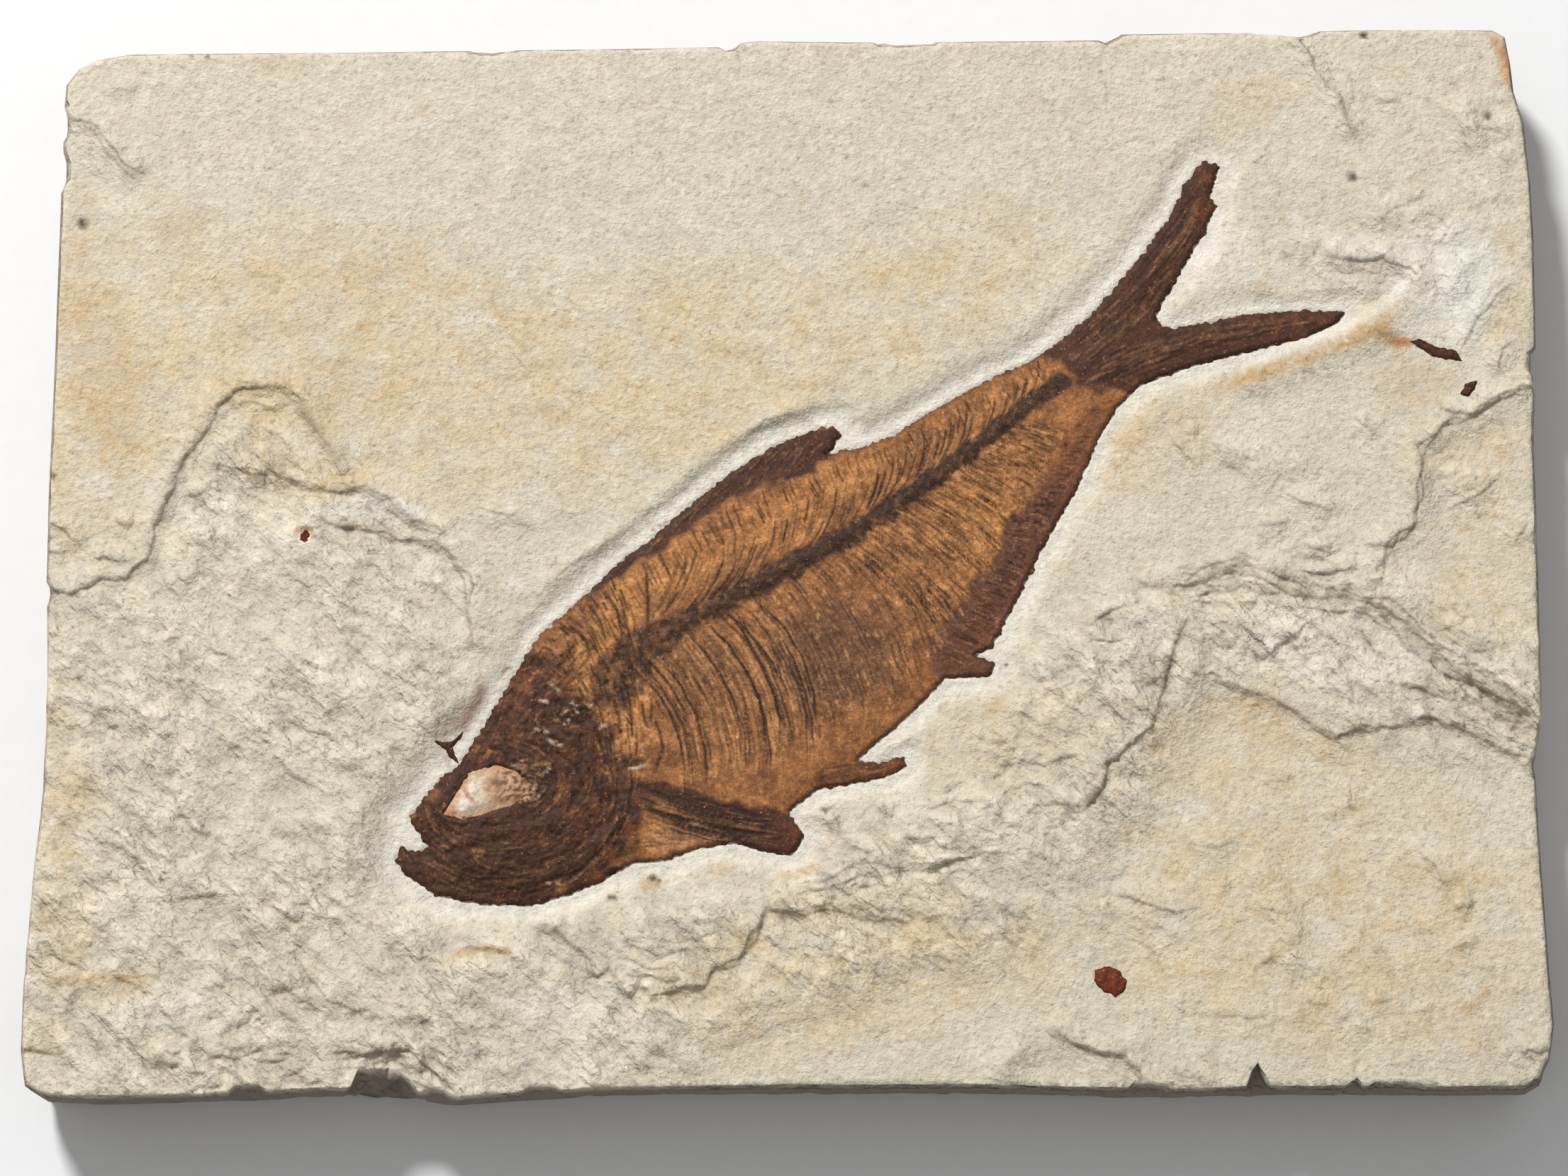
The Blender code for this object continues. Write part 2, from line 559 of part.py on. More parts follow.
def cut_bed(block, outline, low):
    """Sinks a bed for a fossil of this outline into the block, with a thin gap all round."""
    name = block.name + "_bed_cutter"
    cutter = add_object(name, prism(grown(outline, GAP), low, 2.0 * SLAB_TOP), (1.0, 0.0, 0.0), 1.0)
    cutter.hide_render = True
    cutter.display_type = "WIRE"
    cut = block.modifiers.new(cutter.name, "BOOLEAN")
    cut.operation = "DIFFERENCE"
    cut.object = cutter


def broken_side(mesh, rim):
    """The block's rough side and flat underside."""
    plan = np.array([(corner.co.x / MM + CENTRE[0], corner.co.y / MM + CENTRE[1]) for corner in rim])
    for corner, place in zip(rim, grown(plan, -TOP_INSET)):
        corner.co = to_scene(place, corner.co.z / MM)
    ring = rim
    for level, (share, inset) in enumerate(SIDE_RINGS):
        rough = SIDE_ROUGHNESS if inset > 0.0 else 0.0
        chipping = rough * (0.5 + 0.5 * wobble(plan * CHIP_PACE, level + 1.0))
        places = grown(plan, -inset - chipping)
        corners = [to_scene(place, share * top.co.z / MM) for place, top in zip(places, rim)]
        ring = add_ring(mesh, ring, corners)
    mesh.faces.new(ring[::-1])


def build_slab():
    outline = resampled(SLAB, EDGE_STEP, closed=True)
    lines = []
    for ledge in LEDGES:
        path = resampled(ledge.points, EDGE_STEP)
        lines += [beside(path, -ledge.width / 2.0), beside(path, ledge.width / 2.0)]
    banks = [
        grown(resampled(FISH, FISH_STEP, closed=True), TRENCH_WIDTH + share * TRENCH_BANK)
        for share in (0.0, 1.0)
    ]
    shores = [
        ring[-depth_inside(ring, FISH) > TRENCH_WIDTH + share * TRENCH_BANK - GAP / 2.0]
        for share, ring in enumerate(banks)
    ]
    marks = np.vstack([outline, *lines, *shores])
    grid = even_grid(SLAB, GRID_STEP)
    grid = grid[depth_inside(grid, SLAB) > CLEARANCE]
    loose = np.vstack([*shores, clear_of(grid, marks, CLEARANCE)])
    mesh, rim = surface(outline, lines, loose, stone_height)
    broken_side(mesh, rim)
    slab = add_object("limestone_slab", mesh, (0.62, 0.55, 0.43), 0.92)
    cut_bed(slab, FISH, FISH_BED)
    for speck in SPECKS:
        outline = anticlockwise(speck.outline)
        cut_bed(slab, outline, stone_height(outline).min() - SPECK_BED)
    return slab


def build_fish():
    outline = resampled(FISH, FISH_STEP, closed=True)
    ridges = bones()
    crests = [resampled(ridge.points, BONE_STEP) for ridge in ridges]
    feet = [beside(crest, side * ridge.width) for ridge, crest in zip(ridges, crests) for side in (-1, 1)]
    marks = np.vstack([outline, *crests, *feet])
    grid = even_grid(FISH, FISH_STEP)
    loose = np.vstack([*feet, clear_of(grid, marks, CLEARANCE)])
    loose = loose[depth_inside(loose, FISH) > GAP]
    mesh, rim = surface(outline, crests, loose, lambda places: fish_height(places, ridges))
    plan = [(corner.co.x / MM + CENTRE[0], corner.co.y / MM + CENTRE[1]) for corner in rim]
    base = add_ring(mesh, rim, [to_scene(point, FISH_BED + GAP) for point in plan])
    mesh.faces.new(base[::-1])
    fish = add_object("fossil_fish", mesh, (0.17, 0.075, 0.04), 0.6)
    eye = anticlockwise(EYE_OUTLINE)
    cut_bed(fish, eye, FISH_PLANE + FISH_RIM - EYE_BED)
    return fish


def build_inlay(name, outline, base, rim_height, rise, colour, roughness):
    """A small flat fossil that is thickest in its middle."""
    outline = anticlockwise(outline)
    middle = outline.mean(axis=0)
    mesh = bmesh.new()
    crown = [
        mesh.verts.new(to_scene(middle + (point - middle) * SPECK_INNER, rim_height + rise))
        for point in outline
    ]
    mesh.faces.new(crown)
    rim = add_ring(mesh, crown, [to_scene(point, rim_height) for point in outline])
    floor = add_ring(mesh, rim, [to_scene(point, base) for point in outline])
    mesh.faces.new(floor[::-1])
    return add_object(name, mesh, colour, roughness)


def build_eye():
    level = FISH_PLANE + FISH_RIM
    return build_inlay(
        "eye_socket_calcite", EYE_OUTLINE, level - EYE_BED + GAP, level + TRUNK_BULGE, 0.2,
        (0.72, 0.55, 0.42), 0.5,
    )


def build_specks():
    for speck in SPECKS:
        stone = stone_height(anticlockwise(speck.outline))
        build_inlay(
            speck.name, speck.outline, stone.min() - SPECK_BED + GAP, stone.mean() + SPECK_RIM,
            speck.rise, speck.colour, 0.6,
        )


clear_scene()
build_slab()
build_fish()
build_eye()
build_specks()
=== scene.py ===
"""Looks of the fossil fish slab: the split limestone, the fish's bones and film, and the small fossils.

Plan points are in millimetres, each measured from one drawing origin near the block's middle, with the
fish's head towards -X and its back towards +Y. `to_scene` moves them to the centre of the block's box
and turns them into metres, as in the part's own source.
"""

import math
from collections import namedtuple

import bpy
import numpy as np
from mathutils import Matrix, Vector
from mathutils.geometry import delaunay_2d_cdt


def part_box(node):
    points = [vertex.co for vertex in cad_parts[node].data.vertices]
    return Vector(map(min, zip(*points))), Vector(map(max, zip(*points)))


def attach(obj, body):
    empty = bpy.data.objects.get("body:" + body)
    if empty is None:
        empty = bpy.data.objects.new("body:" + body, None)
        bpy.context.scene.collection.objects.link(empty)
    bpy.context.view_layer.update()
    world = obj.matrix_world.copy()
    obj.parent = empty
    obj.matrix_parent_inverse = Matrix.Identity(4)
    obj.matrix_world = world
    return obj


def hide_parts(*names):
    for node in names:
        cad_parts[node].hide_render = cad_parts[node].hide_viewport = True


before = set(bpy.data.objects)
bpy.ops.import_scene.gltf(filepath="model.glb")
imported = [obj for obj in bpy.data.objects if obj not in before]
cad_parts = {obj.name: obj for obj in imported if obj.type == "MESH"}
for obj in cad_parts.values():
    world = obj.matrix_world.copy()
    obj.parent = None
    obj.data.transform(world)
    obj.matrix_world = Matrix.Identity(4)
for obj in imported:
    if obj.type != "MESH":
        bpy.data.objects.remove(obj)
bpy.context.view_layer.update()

MM = 0.001
INNER_TRIANGLES = 1  # the kind of result that delaunay_2d_cdt gives
MERGE = 0.004  # corners of a mesh that lie closer than this in plan become one
SAME = 1e-7  # a difference below this counts as none
TURN = 2.0 * math.pi

# Heights above the underside, in millimetres
SLAB_TOP = 13.0
SWELL = 0.22
FISH_PLANE = 12.45
FISH_RIM = 0.35
FISH_SEAT = 0.35
FISH_DEPTH = 0.8

# The scraped trench round the fish, and the whitish halo that the scraping left. The first of each pair
# holds above the fish from NAPE on towards the tail, and the second everywhere else.
NAPE = -38.0
TRENCH_WIDTH = (1.3, 0.6)
TRENCH_BANK = (3.0, 3.2)
TRENCH_SINK = 0.12
HALO_WIDTH = (1.3, 0.6)
HALO_FADE = (2.4, 2.8)

# Body of the fish: how far the trunk and the skull bulge, and how wide their flanks are
TRUNK_BULGE = 0.32
SKULL_BULGE = 0.45
FLANK = 5.0
SKULL_CENTRE = (-36.0, -32.0)
SKULL_RADIUS = 15.0
TALLEST = 13.85

# Spacing of the meshes' corners: along the block's rim, on its top from fine to hidden, on its
# underside, and on the fish and the small fossils. Rows of corners lie ROW_SHARE of the spacing apart, and
# each corner is nudged by up to half of NUDGE of it. SIDE_RINGS is how many rings the side has.
ROW_SHARE = 0.87
NUDGE = 0.35
EDGE_STEP = 0.8
FINE_STEP = 0.52
TRENCH_STEP = 0.56
ROUGH_STEP = 0.84
PLAIN_STEP = 1.12
HIDDEN_STEP = 3.0
UNDER_STEP = 3.2
FISH_STEP = 0.222
FISH_EDGE_STEP = 0.25
EYE_STEP = 0.2
SPECK_STEP = 0.16
SIDE_RINGS = 12

# Where these spacings hold: round the fish, under it, round rough land, at cracks and ledges, at pits, and
# how far from the outline the underside's grid stays
TRENCH_REACH = 3.2
UNDER_FISH = 1.4
ROUGH_REACH = 4.0
FINE_REACH = 0.6
PIT_REACH = 0.4
UNDER_MARGIN = 3.2

# The block's outline, clockwise from the rounded far left corner
SLAB_OUTLINE = (
    (-98.8, 62), (-98.6, 66), (-97, 68.3), (-94.4, 69.7), (-90, 70.5), (-63, 70.8), (-30, 71.2),
    (-8.6, 71.5), (-7.2, 72), (-4, 72.4), (14, 72.2), (43.4, 72.6), (45, 73.4), (63, 73.6), (68, 73.2),
    (71.4, 74), (96.6, 74), (98.3, 73), (98.9, 69), (99.2, 65), (100.4, 60.4), (101, 52), (101.2, 44),
    (100.9, 27), (100.2, 15), (100.1, -8), (99.9, -22.2), (99, -28), (99.2, -43.2), (99.6, -55),
    (100, -63), (99.3, -67.5), (98.3, -70.6), (96.6, -71.5), (81, -71.7), (66, -71.5), (50, -71.9),
    (25, -71.3), (0, -71.4), (-22, -71.6), (-35, -72.3), (-44, -73), (-49, -72.2), (-60, -71.7),
    (-75, -72.5), (-91, -72.8), (-96.9, -72.5), (-99.3, -71), (-100, -66.5), (-100, -60), (-99.4, -46),
    (-98.4, -32), (-98.3, -18), (-98.9, -6), (-99, 10), (-98.8, 26), (-98.8, 45),
)

# A ledge follows its points with its low side on the right hand. `reach` is how far its low side stays
# low, `width` the width of its wall in plan, `fades` says which of its two ends die out, `steps` is the
# number of thin beds that its wall breaks into, `spread` apart, and `ramp` is the width of the slope that
# takes up RAMP_SHARE of its drop.
WALL_WIDTH = 0.25
Ledge = namedtuple(
    "Ledge", "points drop reach width fades steps spread ramp",
    defaults=(WALL_WIDTH, (True, True), 1, 0.0, 0.0),
)
FADE_LENGTH = 7.0
RAMP_SHARE = 0.55
LEDGE_CLOSE = 3.4  # how far from its points a ledge's jagged wall is worked out
LEDGE_FAR = 2.3  # how many times its reach a ledge is felt
LEDGE_ROWS = (-0.5, 0.5, 1.6)  # rows of corners beside each wall, in widths of the wall

# A ledge's jagged edge: its pace, how far it wanders and how long its lumps are
LEDGE_PACE = 0.43
RAGGED = 0.55
RAGGED_SIZE = 3.4

# The painted shade and dirt in the crevice at a ledge's foot: its width, and the drop from which it is full.
# BROKEN_REACH is how far from a ledge the stone is crumbled.
CREVICE_WIDTH = 0.24
CREVICE_DROP = 0.3
BROKEN_REACH = 2.6

LEDGES = (
    Ledge(  # the scalloped step that enters from the left side
        (
            (-104, -4), (-98.5, -4.9), (-95.5, -5.3), (-93.5, -4.4), (-91.5, -3.2), (-88.5, -3.3),
            (-85.4, -0.8), (-84.6, 3.5), (-82.8, 8), (-81.2, 12.6), (-80.2, 15), (-77.8, 17.2),
            (-76.6, 20.4), (-73.4, 23.4), (-69, 23.2), (-65.9, 21.6), (-64, 18), (-61.6, 14.8),
            (-59.8, 11.6), (-58.4, 8.6),
        ),
        drop=0.62, reach=30, fades=(False, True), ramp=1.5,
    ),
    Ledge(  # the upper of two terraces left of the fish
        (
            (-79.5, 12.2), (-74, 12), (-70, 11.3), (-67.3, 10.9), (-64.8, 9.4), (-61, 8.8), (-56.4, 8.7),
            (-53.6, 7.2), (-50.4, 4.5), (-47, 3.5), (-43.4, 1.5),
        ),
        drop=0.62, reach=16, steps=2, spread=0.5, ramp=2.4,
    ),
    Ledge(  # the lower terrace, which turns down beside the skull
        (
            (-65, 5.6), (-61, 4.2), (-57.8, 3.9), (-54.5, 3.2), (-50.6, 2.1), (-47.3, 1.5), (-44.5, -0.4),
            (-42.6, -3.4), (-42.2, -8), (-42.2, -12), (-41.6, -15),
        ),
        drop=0.75, reach=16, steps=2, spread=0.4, ramp=3.2,
    ),
    Ledge(  # the ragged flake under the throat
        (
            (-33.6, -48.9), (-29.6, -51), (-26.8, -53.4), (-24.9, -56.6), (-23.4, -55.4), (-20.9, -59.4),
            (-19.4, -57.8), (-17.8, -59.6), (-15, -58.7), (-10.9, -57.9), (-9.3, -56), (-6.6, -54.6),
            (-4.2, -50.8), (-2.8, -48), (1.4, -48.3), (5.6, -47.3), (8.6, -48.7), (13, -49.3), (19, -49),
        ),
        drop=0.62, reach=12, steps=2, spread=0.3, ramp=1.6,
    ),
    Ledge(  # small terraces between the flake and the belly
        ((-1, -45.6), (5, -44.6), (10, -42.6), (16, -42.2), (21, -41.8), (25.6, -41.4)),
        drop=0.3, reach=6, steps=2, spread=1.2,
    ),
    Ledge(  # the steep right side of the plateau below the anal fin
        (
            (35, -34.4), (39.6, -34), (41.4, -32), (42, -28.4), (45.6, -25.6), (48.4, -23), (49.8, -19.4),
            (50.8, -14.6), (52.2, -9.8), (53.6, -7),
        ),
        drop=0.7, reach=12, ramp=1.6,
    ),
    Ledge(  # the lower edge of the rough band at the right
        (
            (54, -14.8), (58, -17.4), (61, -18.6), (64.6, -19.6), (68.6, -22.6), (72.5, -25), (76, -23.4),
            (80, -23.6), (85, -21.9), (89, -23.2), (94, -26.2), (98.4, -28.2), (103, -29.5),
        ),
        drop=0.7, reach=18, fades=(True, False), steps=2, spread=0.4, ramp=2.2,
    ),
    Ledge(  # the upper edge of that band
        (
            (50, -5), (54.5, -3.6), (60, -2.2), (66, -4.6), (71, -5.6), (79, -6.6), (85, -12.2),
            (91, -17), (97, -22), (103, -26),
        ),
        drop=0.9, reach=16, fades=(True, False), steps=3, spread=1.2, ramp=4.5,
    ),
    Ledge(  # a flake with a pointed lower end inside the band
        ((55, -8.6), (58.6, -9), (60.6, -11.8), (63, -14), (67.8, -10.8), (70.4, -7.4)),
        drop=0.24, reach=6,
    ),
    Ledge(  # the step that cuts off the right edge
        (
            (75, -3.6), (78.7, -3), (80.4, 1), (83.4, 4.4), (84.5, 8), (85, 14.6), (88, 17.6),
            (92.5, 19.8), (97.4, 22.4), (104, 25),
        ),
        drop=0.5, reach=16, fades=(True, False), steps=2, spread=0.6,
    ),
    Ledge(  # the shell-shaped scar above the tip of the tail
        ((70.6, 43), (73, 41.4), (76, 40.8), (80.6, 41.2), (84.4, 39.4), (86.2, 36.6)),
        drop=0.7, reach=5, ramp=1.4,
    ),
    Ledge(  # the scar that runs in from the far edge
        ((78.4, 56), (76.4, 60), (75.2, 64), (72.4, 68), (70.2, 72.4), (70, 76)),
        drop=0.4, reach=6, fades=(True, False), ramp=1.2,
    ),
    Ledge(  # the chipped hollow on the left edge near the far corner
        ((-103, 62.4), (-96.5, 60.6), (-93.2, 58.2), (-90.4, 54.4), (-86, 51.6)),
        drop=0.5, width=0.3, reach=6, fades=(False, True), steps=2, spread=0.6, ramp=1.5,
    ),
    Ledge(  # chips along the near edge, from here to the next comment
        (
            (-59.5, -67.8), (-56, -67.2), (-52, -66.5), (-49.4, -66.3), (-47.4, -68.2), (-45, -70.2),
            (-41, -71.2),
        ),
        drop=0.6, reach=4,
    ),
    Ledge(
        ((-57.6, -70.4), (-55.6, -69), (-53, -69.2), (-51, -70.2), (-49, -76)),
        drop=0.8, width=0.5, reach=3, fades=(True, False),
    ),
    Ledge(
        ((32.6, -62.2), (36.4, -65.2), (40, -66.4), (44, -67), (45.4, -69), (47, -71), (48.6, -77)),
        drop=0.8, width=0.4, reach=7, fades=(True, False), steps=2, spread=0.4,
    ),
    Ledge(
        ((24, -72), (27.6, -69.6), (31, -66.6), (34.4, -64.6)),
        drop=0.3, width=1.4, reach=4,
    ),
    Ledge(
        ((47.6, -66.6), (50, -68.8), (54, -70.4), (58, -70.8)),
        drop=0.25, width=0.8, reach=3,
    ),
    Ledge(
        ((-104, -66.9), (-98.5, -66), (-96, -66.6), (-93.5, -67.6), (-91, -67.4)),
        drop=0.3, width=0.3, reach=4, fades=(False, True),
    ),
    Ledge(
        ((-76, -68.2), (-73.4, -68.4), (-71.4, -69.8), (-69.6, -71.6), (-68.6, -77)),
        drop=0.6, width=0.4, reach=4, fades=(True, False),
    ),
    Ledge(  # the bank that the scraping left above the nape and the dorsal fin
        (
            (-35, -8), (-33, -5.5), (-30, -2.5), (-26, 0.3), (-22.7, 2.3), (-19.5, 5), (-15, 8.2),
            (-10, 12.2), (-6, 15.4), (-3.4, 18.4), (0, 19.4), (4, 18.6), (8, 20),
        ),
        drop=0.16, reach=3,
    ),
)

# Small steps: their drop and their points, again with the low side on the right hand
SMALL_STEPS = (
    # right of the tail and in the middle of the right half
    (0.2, (50.5, 18), (51.7, 15.3), (53.5, 13.5), (55.8, 11)),
    (0.22, (65, 9.2), (67, 8), (69.5, 7), (73, 6.2), (75, 5)),
    (0.12, (70, 9.5), (73, 8.2)),
    (0.28, (68, 2), (70, 0.8), (72.5, 0.2), (73.2, -1.2)),
    (0.2, (62, 3.4), (64.5, 4.2), (68, 4.2)),
    (0.3, (76.5, 0.8), (79, 1.3), (80.5, 1.5), (82.2, 3.8)),
    (0.3, (86, 18), (88, 20), (89.5, 19.8), (92, 19.4), (94, 20.5), (96, 22), (97.2, 23.2)),
    (0.25, (97.2, 23.2), (95.8, 26), (96.2, 28.5), (98.6, 30.4)),
    (0.25, (86, 6), (89, 6.3), (92, 8), (94, 10), (97, 11.3)),
    (0.2, (96.4, 0.4), (97.4, 2.6), (99.4, 4.8)),
    (0.14, (85, 12.2), (88, 10.6), (91, 11.4)),
    (0.18, (75, 19.2), (78, 17.4), (80, 15.6)),
    # beds that end in the rough band
    (0.3, (50, -4.6), (53, -4.4), (56.5, -3.4)),
    (0.3, (58.6, -1), (61, -1.2), (63, -3), (65, -4.5), (67, -5.5), (69.6, -5.8)),
    (0.3, (66, -2.5), (69, -2.2), (72, -2.6), (75, -2), (78.4, -2.6)),
    (0.14, (60, -12), (62, -13.4), (63.6, -15), (65, -13), (68, -10.8), (70.5, -8)),
    (0.35, (76.6, -6), (79, -7.4), (81, -8.5), (83, -10), (84.8, -11.6)),
    (0.3, (76, -10), (78, -12.5), (79, -14.6)),
    (0.35, (79, -16.7), (81, -17.5), (84, -18), (87, -19), (90, -20.5)),
    (0.4, (82.5, -14.9), (86, -14.5), (88, -16.5), (91, -17.5), (94, -19), (97, -21), (103, -24)),
    (0.2, (60.5, -20.6), (62.4, -20), (64.2, -21.4)),
    (0.2, (52.6, -17.4), (54.4, -16.4), (56.2, -15.8), (58.6, -17)),
    (0.25, (82.4, -22.8), (84, -21.8), (87.2, -22)),
    # above the dorsal fin
    (0.2, (-7.4, 15.4), (-5, 17.2), (-2, 18), (0.4, 19.2), (2.6, 18.2)),
    # more beds that end in the rough band
    (0.3, (84, -12), (88, -15), (93, -18.6), (99, -23.6), (103, -26)),
    (0.3, (82, -9), (87, -12.4), (92, -15.4), (97, -19.4), (103, -23)),
    (0.25, (86, -17.4), (90, -19.4), (95, -22.4), (99, -25.4)),
    (0.25, (76, -7.6), (80, -9), (83, -12.6), (86, -14.8)),
    (0.2, (88, -21.4), (92, -22.6), (96, -24.8), (103, -28)),
    # the plateau
    (0.25, (38, -10.5), (42, -8.5), (45, -7), (48.4, -5.6)),
    (0.2, (38.2, -12.6), (40.6, -11.6), (43, -11.9), (44.6, -11.3), (46.4, -12.6)),
    (0.2, (38, -17), (41, -18), (43.2, -19.2)),
    (0.25, (46.2, -18.2), (49, -17), (50.6, -16.4)),
    (0.2, (39.6, -20.8), (42.4, -20.8), (45.2, -22.6)),
    (0.2, (26, -29), (30, -27.6), (34, -28.4), (38, -27.2)),
    (0.2, (30, -33.4), (33, -34), (36, -33.6), (39.4, -34.4), (41.2, -31.8)),
    (0.2, (28, -22.6), (31, -21.8), (34, -22.8)),
    # thin beds inside the flake under the throat
    (0.22, (-26, -51), (-23, -53.4), (-20, -55), (-16, -55.6), (-12, -55)),
    (0.22, (-24.6, -49.6), (-21, -52.4), (-17, -53.8), (-13, -53.4), (-9.6, -52.6)),
    (0.2, (-22, -56.6), (-18.6, -56.6), (-15.6, -57.4), (-12.4, -56.4)),
    (0.18, (-19, -50.4), (-15, -51.8), (-11.4, -51.6), (-8, -50.2)),
    (0.16, (-14.6, -48.6), (-11, -49.8), (-7.4, -48.6)),
    # under the belly
    (0.25, (17, -43.2), (20, -42.4), (22, -41.4), (25.6, -40.6), (26.2, -42)),
    (0.2, (15, -33.6), (19, -34.6), (22, -33), (25, -33.6), (28, -33)),
    (0.2, (14, -39.4), (17, -38.8), (20, -40)),
    (0.15, (26.8, -50.4), (28.2, -51.4), (29.4, -53.4)),
    (0.14, (30, -51), (31.6, -52.4), (33.4, -54.2)),
    # the lower right
    (0.25, (40, -44.6), (44, -46), (47, -47), (51, -48.2), (56, -47.4)),
    (0.18, (44, -51.5), (47, -53), (49.4, -54.2)),
    (0.16, (47, -49), (49, -50.4), (51, -52.2)),
    (0.16, (52, -39.2), (56, -39.6), (60, -38.4)),
    (0.22, (80.5, -39.8), (83, -40), (85, -42), (86, -44), (88, -47)),
    (0.22, (87, -48.2), (88.6, -47.4), (90.4, -47.6)),
    (0.18, (86.4, -53), (88.6, -52.4), (90.8, -53.2)),
    (0.14, (50, -62.6), (52.4, -62), (56, -61.6), (60, -62.2), (66, -60.6)),
    (0.16, (74, -36), (74.2, -33), (73.8, -30)),
    (0.16, (9.5, -53.6), (11, -55.3), (12.5, -56.8), (13.8, -57.3), (16, -57.2)),
    (0.3, (95, -68.2), (96.4, -66.4), (98, -66.8), (101, -64.6)),
    # the upper left, round the big step and the two terraces
    (0.2, (-75.4, 20.2), (-72, 21.2), (-69.5, 20.4), (-66.6, 20.8), (-65, 19.4)),
    (0.2, (-57.4, 8.2), (-55.4, 6), (-53.6, 3.6), (-51.6, 2)),
    (0.2, (-81.8, 8.4), (-79.6, 8.2), (-77, 9.2), (-73.4, 8.6)),
    (0.14, (-81, 6.6), (-77, 7.4), (-73.6, 7.6)),
    (0.28, (-103, 6.4), (-98.6, 4.4), (-96, 2.6), (-94, 1), (-93.2, -0.8)),
    (0.2, (-103, 0.6), (-98.6, 0.4), (-94.2, 0.2)),
    (0.25, (-93, -2.4), (-91.2, -0.4), (-88.6, -1), (-86, -0.8)),
    (0.2, (-90.6, 5.4), (-88.8, 4.2), (-86.6, 3.4)),
    (0.16, (-43.4, 7.4), (-40, 6), (-37, 5), (-33, 2.4)),
    (0.12, (-39.4, 31.4), (-37.6, 28.6), (-36, 27), (-33.2, 23.4)),
    (0.14, (-30.6, 23.6), (-28.6, 22.4), (-26.6, 21.8)),
    # the dimpled lower left
    (0.18, (-91, -21), (-90, -22.6), (-88.8, -24.4)),
    (0.16, (-79, -24.4), (-80, -19), (-82, -15)),
    (0.16, (-67, -20.6), (-68.2, -18.4), (-69.2, -16)),
    (0.25, (-68.6, -22), (-66, -22.5), (-64, -23.5), (-61, -24.5), (-58.5, -26.5), (-56.8, -28.2)),
    (0.2, (-73.4, -25.4), (-72.4, -26.8), (-71.4, -28.4)),
    (0.2, (-67.5, -29.5), (-64.5, -30.5), (-61.2, -31.6)),
    (0.22, (-83.2, -29.8), (-81, -33), (-78, -37), (-74.8, -39.2)),
    (0.2, (-89, -37.8), (-87, -40.2), (-85, -41.2), (-84, -43)),
    (0.2, (-99.4, -32.6), (-98, -35.4), (-96, -38.2)),
    (0.2, (-98.4, -42.6), (-97.2, -43.8), (-95.6, -44.8)),
    (0.25, (-81.4, -47.4), (-78.5, -46.5), (-75, -46), (-71.6, -46.2)),
    (0.25, (-71, -46.2), (-68, -47.4), (-66, -48), (-64, -49.6), (-62.2, -51.8)),
    (0.18, (-68, -43.2), (-66.4, -44.2), (-64.6, -44.6)),
    (0.18, (-63.6, -45.8), (-62, -45.4), (-60.6, -44.4)),
    (0.2, (-60, -9), (-58, -12.4), (-55, -15.5), (-52.8, -18.6)),
    (0.2, (-66, -14), (-63, -15.4), (-60, -16.2)),
    (0.16, (-60, -6), (-58.4, -7.2), (-56.6, -8.4)),
    (0.2, (-48.6, -2), (-46.8, -4.4), (-44, -7.2)),
    (0.16, (-57.4, -47.4), (-56.2, -49), (-55.2, -50.8)),
    (0.2, (-43.6, -53.2), (-41, -53), (-36.8, -53.6)),
    (0.2, (-65.2, -53), (-63, -56), (-60.8, -59)),
    (0.16, (-53, -56), (-51, -56.6), (-49.2, -57.6)),
    (0.35, (-49, -66.8), (-46.6, -68.6), (-44.6, -70.6), (-42.4, -72.2)),
    (0.3, (-48.6, -68.6), (-46.8, -70.2), (-45.4, -72.4)),
    (0.25, (-47, -66.4), (-44, -69), (-41, -71.6)),
    (0.25, (-76.6, -67.6), (-73.6, -67), (-71.6, -67.8), (-70.4, -69.4)),
    (0.25, (-66.4, -68), (-64, -69.2), (-61, -70.4)),
    (0.2, (-68.2, -60), (-65.4, -61.8), (-62.4, -63.6)),
    (0.16, (-66.2, -66), (-65, -67.4), (-64, -69.2)),
    (0.3, (-56, -69.4), (-53.6, -68.8), (-51, -69.4), (-48, -70.8)),
    # along the far edge and the upper right
    (0.16, (92.6, 61.4), (94.8, 59.8), (97, 59.4), (99.4, 57.4)),
    (0.14, (95, 57.6), (97, 55), (99.4, 53.6)),
    (0.2, (89.4, 25.4), (91.6, 29.6), (93, 33), (96.6, 37), (101, 38.6)),
    (0.12, (62.6, 53.6), (64.4, 55.4), (66.4, 56.8)),
    (0.14, (67, 44.6), (70, 42.8), (73, 41.8)),
    (0.14, (70.6, 41), (71.8, 38.6), (74, 37.4)),
    (0.12, (80, 45.6), (82, 48.2), (86, 49.8), (88, 52.8)),
    (0.16, (88.2, 48), (89.6, 45), (89, 42.6)),
    (0.14, (80.4, 62.6), (81.6, 63.4), (84, 63.6)),
    (0.14, (-93.4, 66.6), (-91.5, 65.3), (-87.5, 65)),
    (0.14, (93, 33), (95, 37), (98, 38.4)),
    (0.14, (88, 42.5), (88.6, 44), (89.4, 45.6)),
)
SMALL_REACH = 3.2

